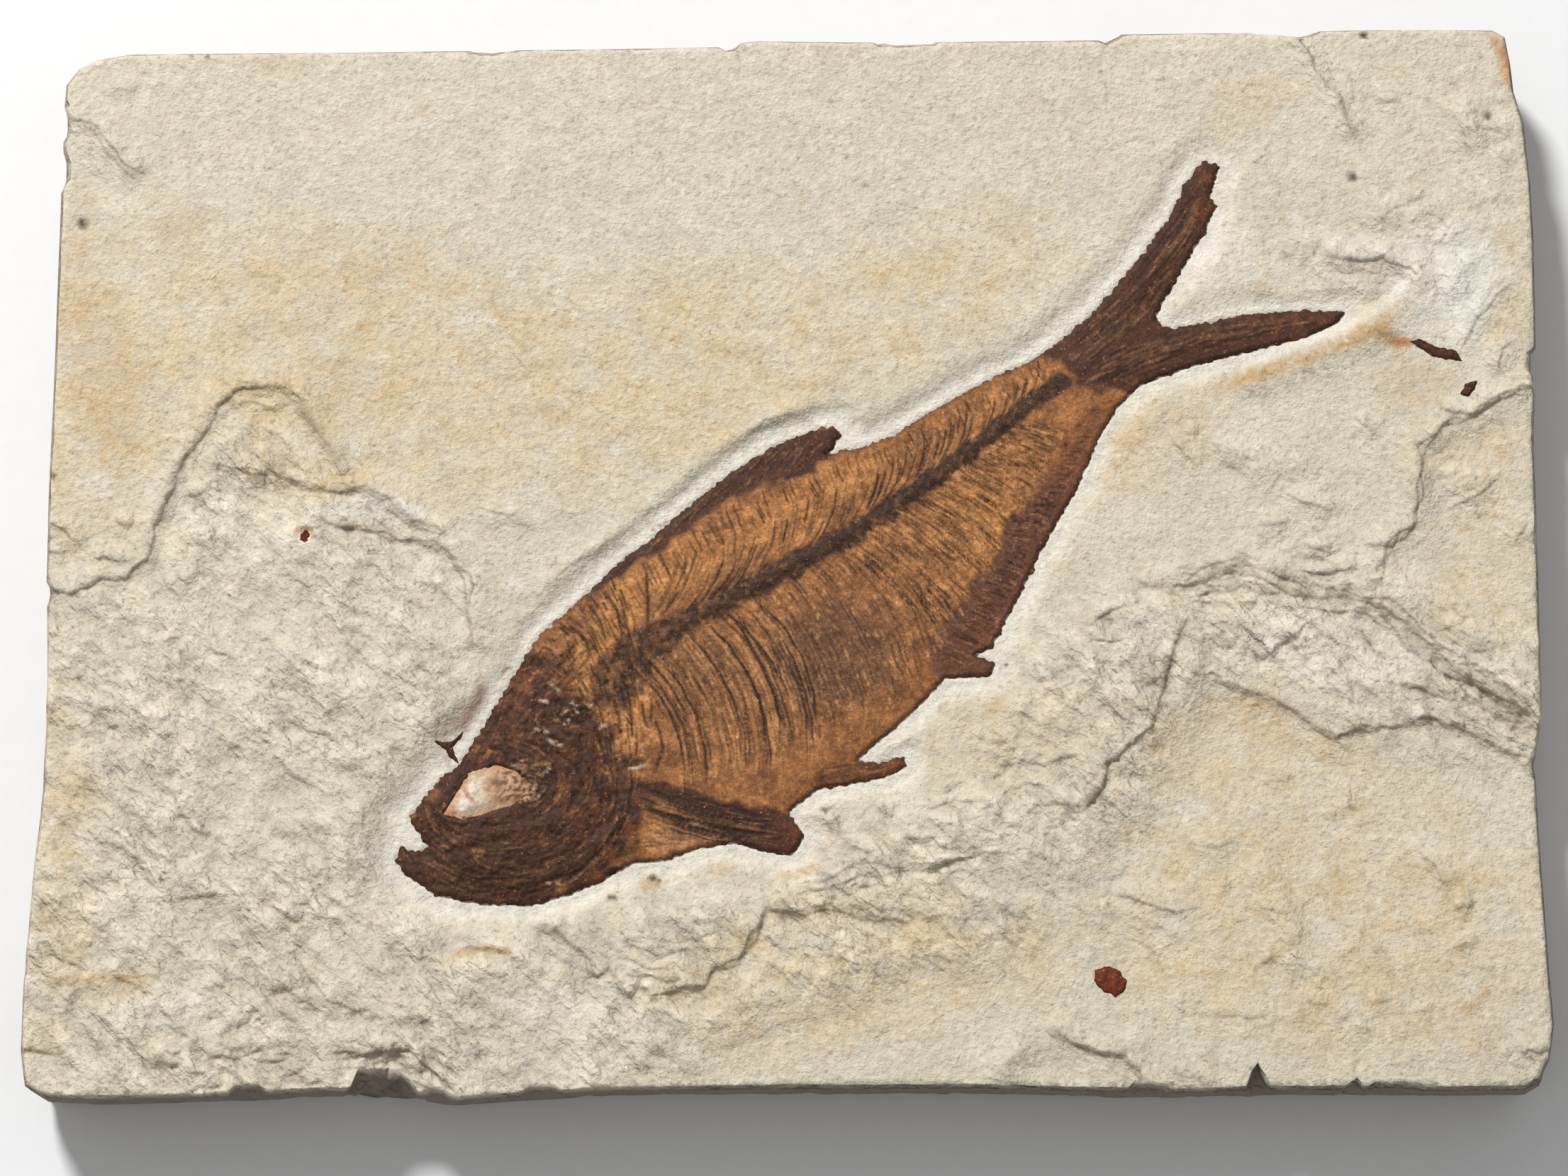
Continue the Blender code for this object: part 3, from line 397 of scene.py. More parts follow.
# Soft slopes: their drop, their width and their points
SOFT_SLOPES = (
    (0.3, 2.6, (66, -60), (66, -54), (65.5, -50), (63, -44), (60.4, -38.4)),
    (0.25, 2, (54, 14.4), (59, 14), (62, 12.6), (65, 11), (68, 9.4)),
    (0.3, 3, (34, -14), (30, -22), (26, -31)),
    (0.5, 3.4, (-34, -48.6), (-29, -51.4), (-25, -56.4)),
    (0.12, 3.6, (-42.6, -2), (-41.4, -8), (-41, -14)),
    (0.25, 2.4, (86, 13), (90, 9.4), (97, 10.6)),
    (0.25, 3, (68, 36.6), (74, 37.6), (80, 38), (84.6, 35.6)),
    (0.2, 2, (33, -46), (44, -48.6), (56, -52.6)),
    (0.25, 2.6, (-99, 60), (-95, 56.4), (-90, 51)),
    (0.5, 1.8, (85.6, 42.4), (86, 38.8), (84.2, 34.8), (80, 31.8), (74, 29), (66, 25.6), (58, 22.6)),
    (0.3, 2, (93, 66), (92, 62), (93, 58.6), (97, 57)),
    (0.25, 2.4, (76, 52), (80, 47.6), (86, 46.6), (92, 50)),
    (0.25, 1.6, (92, 44), (90, 38), (88, 34)),
)
SOFT_REACH = 4.5

# Lands that random creases lie in
RIGHT_BAND = (
    (42, -8), (50, -1), (60, 4), (74, 3), (80, 0), (90, -9), (101, -18), (101, -30), (90, -23), (84, -15),
    (78, -10), (66, -8), (54, -8),
)
UPPER_BAND = ((49, 20), (58, 17), (72, 12), (78, 4), (70, 1), (60, 9))
CORNER = ((66, 44), (80, 58), (92, 64), (101, 62), (101, 34), (88, 30), (84, 42))
NEAR_LEFT = ((-84, -73), (-80, -62), (-64, -56), (-50, -58), (-44, -64), (-44, -73))
UNDER_BELLY = ((-8, -44), (6, -34), (16, -28), (28, -22), (38, -24), (40, -36), (26, -44), (8, -50))
LOWER_RIGHT = ((10, -70), (6, -52), (34, -44), (60, -28), (98, -32), (98, -70))

# Rims that stand up from the stone: their points, half width and height
RIMS = (
    (((85.4, 43.6), (85.6, 40.6), (84.6, 37.4), (82.4, 34.6), (79, 32.4), (72, 29.6), (62, 25.4)), 1.7, 0.4),
    (((71, 43.6), (74, 42.6), (78, 42.4), (82, 42.2)), 1.2, 0.15),
)

# Hairline cracks
CRACKS = (
    ((-79.5, 5), (-79, 7.5), (-77, 9.5)),
    ((-71.5, 67), (-69, 68.3)),
    ((80, 63), (83, 63.5)),
    ((-7, 71), (-6.4, 68.5), (-6.8, 66)),
    ((43.5, 72.5), (43, 68), (43.8, 65), (43.4, 62)),
    ((74, -66), (73.6, -69), (74, -72)),
)
CRACK_WIDTH = 0.3
CRACK_DEPTH = 0.14

# The fish's outline, clockwise from the corner of its mouth
FISH_OUTLINE = (
    # upper jaw, brow and nape
    (-47.3, -39.5), (-48.2, -38.3), (-49.9, -35.7), (-48, -33), (-46, -30.5), (-43.5, -28.7),
    (-41.8, -26), (-38.3, -20), (-36, -16), (-33, -11), (-29.7, -8.2), (-25.3, -4), (-22.7, -1.3),
    # dorsal fin, folded down along the back
    (-18.7, 1.7), (-14, 6), (-10, 9.3), (-6, 12.3), (-2, 14.9), (2.4, 16.6), (4.6, 17.5), (6.6, 17.4),
    (7.2, 16.6), (6.4, 15.6), (6, 14.4), (5, 13.8),
    # back, up to the tip of the tail's upper lobe
    (10, 14.8), (14, 16.3), (18, 19), (22.7, 21.7), (28.2, 24.7), (32.5, 26.6), (36.8, 29.6),
    (41.9, 34.3), (45.3, 38.4), (48.3, 42.2), (51.7, 46.9), (53.8, 51.6), (56.6, 55.1), (58.7, 54.3),
    # trailing edges of the two lobes
    (57.4, 50.2), (58.1, 48.6), (56.4, 44.8), (53.4, 39.7), (50.8, 35.4), (49.6, 32.4), (51.8, 31.2),
    (55.1, 31.9), (62.4, 33.3), (70, 33.9), (75.4, 33.6),
    # lower lobe and wrist of the tail
    (74, 32), (70, 30.1), (63.2, 28.4), (54.7, 26.2), (47.4, 23.4), (44.2, 20.3),
    # anal fin
    (41.7, 16), (39.7, 11.3), (38.3, 8.3), (35.7, 4), (33.3, -0.3), (31, -5.3), (28.7, -9.7),
    (27.2, -12.6), (25, -13.7), (27.6, -15), (26.7, -16.6), (20.7, -16.9),
    # belly
    (17.7, -20.2), (14, -23.7), (10.4, -26.6), (9, -28.1),
    # pelvic fin
    (12, -28.3), (15.5, -27.3), (15.7, -28.8), (12.7, -30.2), (8, -31.2), (4, -31.8), (0, -34.8),
    # pectoral fin
    (2.2, -38.3), (0.5, -40.6), (-2.7, -40.2), (-7, -39), (-12, -39.7), (-16, -41.3),
    # throat and lower jaw
    (-20.3, -41.6), (-24.7, -44.2), (-28.7, -45.8), (-33.7, -47.3), (-40, -47.1), (-46, -46),
    (-50, -43.3), (-51.6, -41.3), (-50.8, -39.7), (-49.2, -40.2),
)

# The line from the snout to the tip of the tail's upper lobe, which has the stone above the fish on its
# left
BACKBONE = ((-54, -39), (-23, -17), (8, 2.7), (36.8, 23.9), (46, 36), (57, 56), (62, 68))

# Lines inside the fish that its bones spring from or reach to
COLUMN = (
    (-23, -17.4), (-19.3, -13.3), (-15.3, -10.5), (-8, -6.3), (-0.7, -2.3), (8.3, 2.7), (16, 7.7),
    (24, 13.7), (30.8, 19.4), (36.8, 23.9),
)
CHEST_COLUMN = ((-21, -15.5), (-17.5, -12), (-13.5, -9.5), (-9, -7), (-5, -4.6))
CHEST_FLOOR = ((-14, -33), (-10.6, -32), (-7, -31.2), (-3, -30.2), (1.4, -28.8), (4.2, -27.4))
FLANK_COLUMN = ((-5, -4.6), (-1, -2.6), (3, -0.6), (7, 1.6), (10, 3.4))
FLANK_FLOOR = ((4.2, -27.4), (6, -26.6), (11.4, -23), (16.6, -18.6), (21, -12.6))
HIND_COLUMN = ((6, 0.6), (8.3, 2.2), (16, 7.2), (24, 13), (31, 18.6))
HIND_FLOOR = ((20, -14), (26, -6), (29.7, 2.4), (34.5, 9.8), (38.6, 16.2))
ANAL_FIN_ROOT = (
    (19, -14), (21.7, -10.3), (24.3, -6), (27.7, -1.7), (29.7, 4), (33.7, 7.7), (36.7, 12.3),
    (39.3, 17.3),
)
ANAL_FIN_EDGE = (
    (23.4, -15.9), (26.8, -12), (30.2, -5.4), (34.8, 3.9), (38.6, 11), (41.6, 17.6),
)
BACK_COLUMN = ((-21, -11), (-13, -8), (-0.7, -1.5), (8.3, 3.5), (24, 14.6), (33, 21.6))
BACK_LINE = ((-15, 0), (-6, 5), (4, 9.6), (12, 13.2), (26, 21.8), (35, 26.4))
BACK_EDGE = ((-22, -3), (-12, 4.6), (-2, 9.8), (5, 12.6), (14, 16), (26, 23), (36, 28.4))
BACK_MIDDLE = ((-19, -8.6), (-9.4, 0), (0.4, 5.2), (7.4, 8.6), (16.4, 12.2), (27.6, 19.4), (36.6, 25.6))
DORSAL_FIN_ROOT = ((-24, -4), (-18, 0.6), (-9.7, 6.6), (-3, 10), (1.6, 11.8))
DORSAL_FIN_EDGE = ((-17, 2.6), (-10, 8.6), (-3.4, 13.6), (1.6, 15.8), (6.6, 16.6))
TAIL_ROOT_UPPER = ((37, 27.6), (38.6, 25.4))
TAIL_EDGE_UPPER = ((56.6, 53.2), (56.2, 47), (52.4, 40), (48.6, 33.4))
TAIL_ROOT_LOWER = ((38.8, 24.6), (40.4, 22))
TAIL_EDGE_LOWER = ((51, 29.8), (60, 31.6), (68, 32.4), (72.8, 32.4))
PECTORAL_ROOT = ((-20.6, -30.8), (-20, -35.4))
PECTORAL_TIP = ((-0.6, -35.8), (0.6, -39.6))
PELVIC_ROOT = ((3, -29.4), (3.6, -31.6))
PELVIC_TIP = ((15.4, -27.6), (13.6, -29.8))
THROAT = (((-19, -33.6), (-20.6, -40.6)), ((-9, -35.6), (-13, -39.6)))
BROW = (((-47, -36), (-38, -33)), ((-30, -9.6), (-24, -14)))
TEMPLE = (((-36.4, -28), (-36.8, -34.4)), ((-30.6, -28.8), (-32.6, -33.6)))
CHEEK = (((-31, -13), (-21, -6)), ((-23.6, -32), (-17.4, -24)))
CROWN = (((-35, -15), (-29, -7.6), (-23, -2)), ((-30, -18), (-25, -13), (-20.6, -9)))


def smooth(share):
    """An even S-curve from 0 to 1."""
    share = np.clip(share, 0.0, 1.0)
    return share * share * (3.0 - 2.0 * share)


def anticlockwise(points):
    """The closed outline as an array that runs anticlockwise seen from above."""
    points = np.array(points, float)
    following = np.roll(points, -1, axis=0)
    area = np.sum(points[:, 0] * following[:, 1] - following[:, 0] * points[:, 1])
    return points if area > 0.0 else points[::-1]


def resampled(points, step, closed=False):
    """The line cut into even pieces of about `step`, with every corner kept."""
    points = np.array(points, float)
    ends = np.vstack([points[1:], points[:1]]) if closed else points[1:]
    made = []
    for start, end in zip(points, ends):
        pieces = max(1, round(float(np.linalg.norm(end - start)) / step))
        made += [start + (end - start) * index / pieces for index in range(pieces)]
    return np.array(made if closed else made + [points[-1]])


def along(line, share):
    """The point at this share of the line's length."""
    line = np.array(line, float)
    lengths = np.linalg.norm(np.diff(line, axis=0), axis=1)
    marks = np.concatenate([[0.0], np.cumsum(lengths)]) / lengths.sum()
    return np.array([np.interp(share, marks, line[:, axis]) for axis in range(2)])


def nearest(places, line):
    """For each place: its distance to the line, its side (+1 on the right) and its share along it."""
    line = np.array(line, float)
    lengths = np.linalg.norm(np.diff(line, axis=0), axis=1)
    before = np.concatenate([[0.0], np.cumsum(lengths)])
    best = np.full(len(places), np.inf)
    turned_by = np.zeros(len(places))
    travelled = np.zeros(len(places))
    for start, end, length, done in zip(line[:-1], line[1:], lengths, before):
        run = (end - start) / length
        away = places - start
        pace = np.clip(away @ run, 0.0, length)
        offset = away - pace[:, None] * run
        distance = np.hypot(offset[:, 0], offset[:, 1])
        turn = run[1] * offset[:, 0] - run[0] * offset[:, 1]
        level = np.abs(distance - best) < SAME
        closer = np.where(level, np.abs(turn) > np.abs(turned_by), distance < best)
        best = np.where(closer, distance, best)
        turned_by = np.where(closer, turn, turned_by)
        travelled = np.where(closer, done + pace, travelled)
    return best, np.where(turned_by < 0.0, -1.0, 1.0), travelled / before[-1]


def depth_inside(places, outline):
    """How deep each place lies inside the closed outline, negative outside it."""
    distance, _, _ = nearest(places, np.vstack([outline, outline[:1]]))
    x, y = places[:, 0], places[:, 1]
    inside = np.zeros(len(places), bool)
    for start, end in zip(outline, np.roll(outline, -1, axis=0)):
        if start[1] != end[1]:
            reach = start[0] + (end[0] - start[0]) * (y - start[1]) / (end[1] - start[1])
            inside ^= ((start[1] > y) != (end[1] > y)) & (x < reach)
    return np.where(inside, distance, -distance)


def grown(outline, distance):
    """The anticlockwise outline moved outwards, by one distance or by one for each corner."""
    edges = np.roll(outline, -1, axis=0) - outline
    edges /= np.linalg.norm(edges, axis=1)[:, None]
    normals = np.column_stack([edges[:, 1], -edges[:, 0]])
    corner = normals + np.roll(normals, 1, axis=0)
    square = np.sum(corner**2, axis=1)
    return outline + corner * (2.0 * distance / np.maximum(square, 1.0))[:, None]


def wobble(places, seed=0.0):
    """A slow, even unevenness between -1 and 1."""
    x, y = places[:, 0], places[:, 1]
    return (
        np.sin(0.071 * x + 0.043 * y + seed)
        + np.sin(0.113 * y - 0.052 * x + 2.1 * seed)
        + np.sin(0.19 * x + 0.23 * y + 3.7 * seed)
    ) / 3.0


def scatter(cells, seed):
    """A random number from 0 to 1 for each pair of whole numbers, the same in every run."""
    x, y = cells[..., 0].astype(np.uint64), cells[..., 1].astype(np.uint64)
    mixed = x * np.uint64(374761393) + y * np.uint64(668265263) + np.uint64(977 * seed + 13)
    mixed = (mixed ^ (mixed >> np.uint64(13))) * np.uint64(1274126177)
    mixed = (mixed ^ (mixed >> np.uint64(16))) * np.uint64(2246822519)
    return ((mixed >> np.uint64(20)) & np.uint64(0xFFFFF)) / float(0xFFFFF)


def noise(places, size, seed=0):
    """Smooth noise between about -1 and 1, with lumps of this size or of this length and width."""
    at = places / np.array(size, float)
    cell = np.floor(at).astype(np.int64)
    part = at - cell
    ease = part**3 * (part * (part * 6.0 - 15.0) + 10.0)
    rows = []
    for up in (0, 1):
        ends = []
        for over in (0, 1):
            angle = TURN * scatter(cell + (over, up), seed)
            offset = part - (over, up)
            ends.append(np.cos(angle) * offset[:, 0] + np.sin(angle) * offset[:, 1])
        rows.append(ends[0] + ease[:, 0] * (ends[1] - ends[0]))
    return 1.5 * (rows[0] + ease[:, 1] * (rows[1] - rows[0]))


def rough(places, size, layers=3, seed=0):
    """Noise of this size with finer and fainter layers on top."""
    size = np.array(size, float)
    return sum(noise(places, size * 0.5**layer, seed + layer) * 0.5**layer for layer in range(layers))


def drift_of(places, size, seed):
    """A smooth random shift in plan for each place, up to about 1 each way."""
    return np.column_stack([noise(places, size, seed), noise(places, size, seed + 1)])


def taper(share, rate, start):
    """1 along a line, which falls towards its two ends. `share` is how far along it each place is."""
    return smooth(rate * np.minimum(share, 1.0 - share) + start)


def beside(line, out):
    """The line moved to its right by this distance, or by one for each of its points."""
    run = np.gradient(line, axis=0)
    run /= np.maximum(np.linalg.norm(run, axis=1), SAME)[:, None]
    return line + np.column_stack([run[:, 1], -run[:, 0]]) * np.reshape(out, (-1, 1))


def turned(places, degrees):
    """The places in a frame whose first axis points in this direction."""
    angle = math.radians(degrees)
    across = np.array([[math.cos(angle), -math.sin(angle)], [math.sin(angle), math.cos(angle)]])
    return places @ across


def patch(places, spot):
    """1 in the middle of the spot, which fades to 0 at its rim."""
    local = turned(places - np.array((spot.x, spot.y)), spot.turn)
    away = np.hypot(local[:, 0] / spot.long, local[:, 1] / spot.wide)
    return spot.strength * smooth(1.6 * (1.0 - away))


def patches(places, spots):
    """The strongest of the spots at each place."""
    best = np.zeros(len(places))
    for spot in spots:
        best = np.maximum(best, patch(places, spot))
    return best


# An oval patch of a tone: its middle, its half axes, which way it points and how strong it is
Spot = namedtuple("Spot", "x y long wide turn strength", defaults=(0.0, 1.0))

SLAB = anticlockwise(SLAB_OUTLINE)
CENTRE = (SLAB.min(axis=0) + SLAB.max(axis=0)) / 2.0
FISH = anticlockwise(FISH_OUTLINE)


def to_scene(places, heights):
    """Plan points and heights in millimetres as corners in metres."""
    return np.column_stack([places - CENTRE, heights]) * MM


def even_grid(low, high, step, seed):
    """Points in a staggered grid over this box, each nudged a little."""
    x, y = np.meshgrid(np.arange(low[0], high[0], step), np.arange(low[1], high[1], step * ROW_SHARE))
    x = x + step * 0.5 * (np.arange(len(x)) % 2)[:, None]
    places = np.column_stack([x.ravel(), y.ravel()])
    cells = np.round(places / step * 4.0).astype(np.int64)
    nudge = np.column_stack([scatter(cells, seed), scatter(cells, seed + 1)]) - 0.5
    return places + nudge * step * NUDGE


def marked(places, lines, reach):
    """Which of the places lie within about this reach of one of the lines."""
    low = SLAB.min(axis=0) - 4.0 * reach
    size = np.ceil((SLAB.max(axis=0) + 4.0 * reach - low) / reach).astype(int)
    board = np.zeros(size, bool)
    for line in lines:
        cells = np.floor((resampled(line, reach / 2.0) - low) / reach).astype(int)
        for over in (-1, 0, 1):
            for up in (-1, 0, 1):
                at = np.clip(cells + (over, up), 0, size - 1)
                board[at[:, 0], at[:, 1]] = True
    at = np.clip(np.floor((places - low) / reach).astype(int), 0, size - 1)
    return board[at[:, 0], at[:, 1]]


def triangulated(outline, loose):
    """The outline filled with triangles: plan corners, triangles, and where the outline's corners are."""
    points = [Vector(point) for point in np.vstack([outline, loose])]
    whole = [list(range(len(outline)))]
    flat, _, faces, origins, *_ = delaunay_2d_cdt(points, [], whole, INNER_TRIANGLES, MERGE)
    place_of = {origin: index for index, group in enumerate(origins) for origin in group}
    rim = [place_of[index] for index in range(len(outline))]
    return np.array([tuple(point) for point in flat]), [tuple(face) for face in faces], rim


def walls(upper, lower):
    """Triangles from one ring of corner numbers down to another."""
    made = []
    for index, top in enumerate(upper):
        following = (index + 1) % len(upper)
        made.append((upper[following], top, lower[index]))
        made.append((upper[following], lower[index], lower[following]))
    return made


def add_piece(name, corners, triangles, tones, made_of):
    """A smooth-shaded mesh with its tones as attributes of its corners."""
    mesh = bpy.data.meshes.new(name)
    mesh.from_pydata([tuple(corner) for corner in corners], [], triangles)
    for tone, values in tones.items():
        layer = mesh.attributes.new(tone, "FLOAT", "POINT")
        layer.data.foreach_set("value", np.clip(values, 0.0, 1.0).astype(np.float32))
    mesh.polygons.foreach_set("use_smooth", np.ones(len(mesh.polygons), bool))
    mesh.materials.append(made_of)
    mesh.update()
    made = bpy.data.objects.new(name, mesh)
    bpy.context.scene.collection.objects.link(made)
    return made


# ---------------------------------------------------------------- stone

# Where the split surface is roughest: the block's left and near parts and the band at its right
ROUGH_LAND = (
    (-104, -4), (-85, -2), (-82, 10), (-76, 19), (-66, 20), (-56, 8), (-44, 0), (-42, -20), (-54, -38),
    (-44, -52), (-20, -48), (0, -44), (12, -36), (28, -30), (34, -10), (48, -4), (62, 0), (80, -2),
    (104, -10), (104, -30), (76, -26), (56, -18), (48, -36), (30, -54), (0, -62), (-20, -76), (-104, -78),
)
ROUGH = anticlockwise(ROUGH_LAND)

# The dimples' length and width, which way they run and how deep they are, the knobs between them, and the
# longer swells that they lie on
DIMPLE_SIZE = (6.2, 2.3)
DIMPLE_TURN = -48.0
DIMPLE_DEPTH = 0.72
KNOB_DEPTH = 0.32
SWELL_SIZE = (15.0, 5.4)
SWELL_SHARE = 0.7

# Broad stains and pale patches on the stone
OCHRE_SPOTS = (
    Spot(-62, 26, 50, 24, -8), Spot(-20, 24, 42, 20, 10), Spot(-92, 22, 14, 30, 0),
    Spot(15, 34, 36, 13, 28, 0.85), Spot(70, -50, 40, 24, 0, 0.9), Spot(10, -56, 40, 14, 8, 0.8),
    Spot(-96, -40, 5, 30, 0, 0.8), Spot(-88, -57, 9, 3, -5, 0.8), Spot(48, 15, 16, 9, 30, 0.8),
    Spot(-40, -54, 9, 1.6, 0, 0.8), Spot(62, 62, 10, 5, 10, 0.4), Spot(66, 36, 14, 6, 10, 0.6),
    Spot(60, -28, 26, 12, -10, 0.8), Spot(97, 34, 5, 14, 0, 0.8), Spot(92, -4, 12, 14, 0, 0.6),
    Spot(92, 12, 12, 12, 0, 0.5), Spot(30, -24, 16, 10, 20, 0.45), Spot(-98, -66, 4, 6, 0, 0.7),
    Spot(20, -8, 10, 10, 0, 0.2),
)
AMBER_SPOTS = (
    Spot(-92, 26, 7, 18, 10, 0.45), Spot(-82, 46, 7, 3, 10, 0.4), Spot(-70, 69, 8, 2.5, 0, 0.4),
    Spot(-96, 44, 3, 12, 0, 0.35), Spot(-60, 24, 16, 5, -10, 0.25), Spot(48, 17, 9, 3, 25, 0.35),
    Spot(90, -66, 3, 3, 0, 0.3), Spot(-17.9, -44.4, 2.4, 1.7, 0, 1.2), Spot(-9, -42.5, 3, 1.6, 0, 0.5),
    Spot(1.5, -43, 4, 1.4, 20, 0.6), Spot(98.5, 69, 2.5, 5, 0, 0.6), Spot(-60, 40, 22, 8, 8, 0.2),
    Spot(4, -38.5, 2, 2.4, 0, 0.3), Spot(-50, 62, 1.6, 1.4, 0, 0.4), Spot(-70, 14, 5, 3, 0, 0.25),
    Spot(62, -22, 10, 4, -10, 0.3), Spot(84, 24, 8, 5, 0, 0.4), Spot(64, 64, 12, 4, 0, 0.2),
)
GREY_SPOTS = (
    Spot(-20, 62, 90, 20, 2, 0.9), Spot(-66, -28, 40, 36, 0, 0.9), Spot(60, 55, 30, 20, 0, 0.5),
    Spot(72, 4, 34, 12, -10, 0.7), Spot(84, -18, 20, 10, -20, 0.8), Spot(44, -18, 14, 16, 20, 0.8),
    Spot(-34, 2, 14, 9, 0, 0.7), Spot(-40, -66, 40, 8, 0, 0.5), Spot(24, -47, 24, 6, 4, 0.5),
    Spot(-26, -53, 10, 5, -30, 0.8), Spot(-44, -11, 3, 10, -10, 0.6),
)
CHALK_SPOTS = (
    Spot(86, 38, 7, 12, 0, 0.8), Spot(85, 31, 4, 4, 0, 0.6), Spot(90, 38, 9, 12, 0, 0.9),
    Spot(58, 40, 8, 9, 30, 0.6), Spot(-36.5, -3.5, 2.5, 1.4, 0, 0.8), Spot(82.5, -14.5, 3, 3, 0, 0.7),
    Spot(-58, 6.5, 9, 1.4, -12, 0.7), Spot(78, 44, 8, 4, 0, 0.6), Spot(72, 38, 14, 4, 4, 0.5),
    Spot(-54, 7.4, 8, 1.8, -14, 0.8), Spot(68, 20, 14, 5, 15, 0.3), Spot(70, -13, 16, 7, -8, 0.5),
    Spot(48, -10, 6, 5, 20, 0.4), Spot(-64.5, 2.6, 1.6, 1.6, 0, 1.3), Spot(-78, -62, 10, 4, 0, 0.4),
    Spot(-30, -61, 12, 4, 0, 0.4),
)

# Dark flecks and pits on the stone: place, radius and depth
Pit = namedtuple("Pit", "x y radius depth dark")
PITS = (
    Pit(-95.7, 46.2, 0.75, 0.35, 1), Pit(78.8, 73, 0.8, 0.3, 1), Pit(-80, 20, 0.35, 0.1, 0.7),
    Pit(-70, -24.2, 0.4, 0.1, 0.9), Pit(95.4, 61.2, 0.8, 0.2, 0.9), Pit(76.9, 52.4, 0.8, 0.15, 1),
    Pit(67.9, 41.4, 0.5, 0.1, 0.6), Pit(30.6, 43.5, 0.4, 0.1, 0.5), Pit(-6, 58.5, 0.45, 0.1, 0.5),
    Pit(-78, -42, 0.35, 0.1, 0.6), Pit(-90, -51, 0.35, 0.1, 0.5), Pit(-89.5, -66.3, 0.4, 0.1, 0.5),
    Pit(-64.5, 2.6, 1.4, 0.3, 0), Pit(5, -34.7, 0.6, 0.1, 1), Pit(-17.7, -43.7, 0.8, 0.12, 1),
    Pit(-23.3, -46.3, 0.7, 0.1, 0.9), Pit(-22.6, -46.5, 0.5, 0.1, 0.9), Pit(-17, -44.1, 0.5, 0.1, 0.9),
    Pit(29, -15.2, 0.45, 0.1, 0.7), Pit(-98.2, 10.6, 0.6, 0.2, 0.8),
)

# Thin smears of colour on the stone
Smear = namedtuple("Smear", "points width strength")
AMBER_SMEARS = (
    Smear(((86, 43), (86.2, 38.8), (84.4, 35), (80.4, 31.8), (74, 29.2), (66, 26), (57, 22.6)), 2, 1.1),
    Smear(((79.6, 30.6), (81.6, 29.4), (84, 29.2)), 1.3, 1.7),
    Smear(((-40.6, 36.4), (-37.6, 31), (-34.4, 27)), 0.5, 0.6),
    Smear(((-97, -57.6), (-90, -57), (-84, -57.6)), 1, 0.7),
    Smear(((-44, -54), (-40, -53), (-36, -53.6)), 0.8, 0.6),
    Smear(((71, -40), (72.6, -45), (71.6, -50)), 0.8, 0.5),
    Smear(((26, -22), (29, -19)), 0.8, 0.6),
    Smear(((92, -58), (88, -62)), 1.2, 0.5),
)
SHADE_SMEARS = (
    Smear(((74, 40.4), (78, 39.4), (83, 39.6)), 1.6, 0.45),
    Smear(((-65.9, 21.6), (-64, 18), (-61.6, 14.8), (-59.8, 11.6)), 1.3, 0.8),
    Smear(((-84.6, 3.5), (-82.8, 8), (-81.2, 12.6)), 1.3, 0.6),
    Smear(((-68, 11.2), (-64.8, 9.6), (-61, 8.9), (-56.4, 8.6)), 1, 0.5),
    Smear(((-54, 7), (-51.4, 5), (-49, 4)), 1.1, 0.8),
    Smear(((78, 57), (76.4, 60), (75.2, 64), (72.6, 67.6)), 0.9, 0.6),
    Smear(((74, 41), (78, 40.4), (83, 39.6)), 1.2, 0.5),
    Smear(((80, -8), (88, -14.6), (94, -19.4), (100, -25)), 3, 0.4),
    Smear(((54, -3), (62, -1.6), (72, -5), (80, -8)), 2, 0.3),
    Smear(((58, -17.6), (64.6, -20), (68.6, -22.8), (72.5, -25.2)), 0.9, 0.7),
    Smear(((48.4, -23), (49.8, -19.4), (50.8, -14.6), (52.2, -9.8)), 0.9, 0.6),
    Smear(((38, -34.4), (41.4, -32), (42.4, -28.4)), 0.8, 0.6),
    Smear(((80.4, 1), (83.4, 4.4), (84.5, 8), (85, 14.6)), 0.7, 0.4),
    Smear(((-57.6, -67.5), (-52, -66.6), (-49.4, -66.5)), 0.5, 1.1),
    Smear(((-33, -49.6), (-28.6, -52.4), (-25.4, -56)), 1.2, 0.4),
)

# Small chalky spots, and the rust and orange beside some of them and at the far right corner
PALE_SPOTS = (
    Spot(-64.5, 2.6, 2.7, 2.6, 0, 1.2), Spot(-34, 41.3, 0.7, 0.5, 20, 0.9),
    Spot(-33, 38.5, 0.9, 0.4, -30, 0.9), Spot(-30, 36.5, 1, 0.5, 40, 0.9),
    Spot(-46, 46.3, 0.9, 0.5, 0, 0.8), Spot(68.5, 46.5, 1.3, 1.1, 0, 0.8),
    Spot(-36.5, 34.6, 0.7, 0.5, 0, 0.8), Spot(-28.6, 33, 0.6, 0.9, 0, 0.7),
)
RUST_SPOTS = (Spot(82.2, 29.7, 2.2, 1, -12, 0.4), Spot(80.2, 30.8, 1.2, 0.7, -30, 0.25))
ORANGE_SMEARS = (
    Smear(((-65.3, 1.4), (-65.8, 2.6), (-65.1, 3.6), (-63.9, 3.6), (-63.2, 2.6), (-63.6, 1.5)), 0.5, 0.75),
    Smear(((81.4, 29.9), (82.6, 29.2), (84.4, 29.3)), 0.9, 1.3),
    Smear(((80.4, 31.6), (81.4, 30)), 0.5, 0.7),
    Smear(((95.6, 73), (97.4, 71.8), (98.2, 68.6), (98.4, 65)), 1.2, 0.7),
)
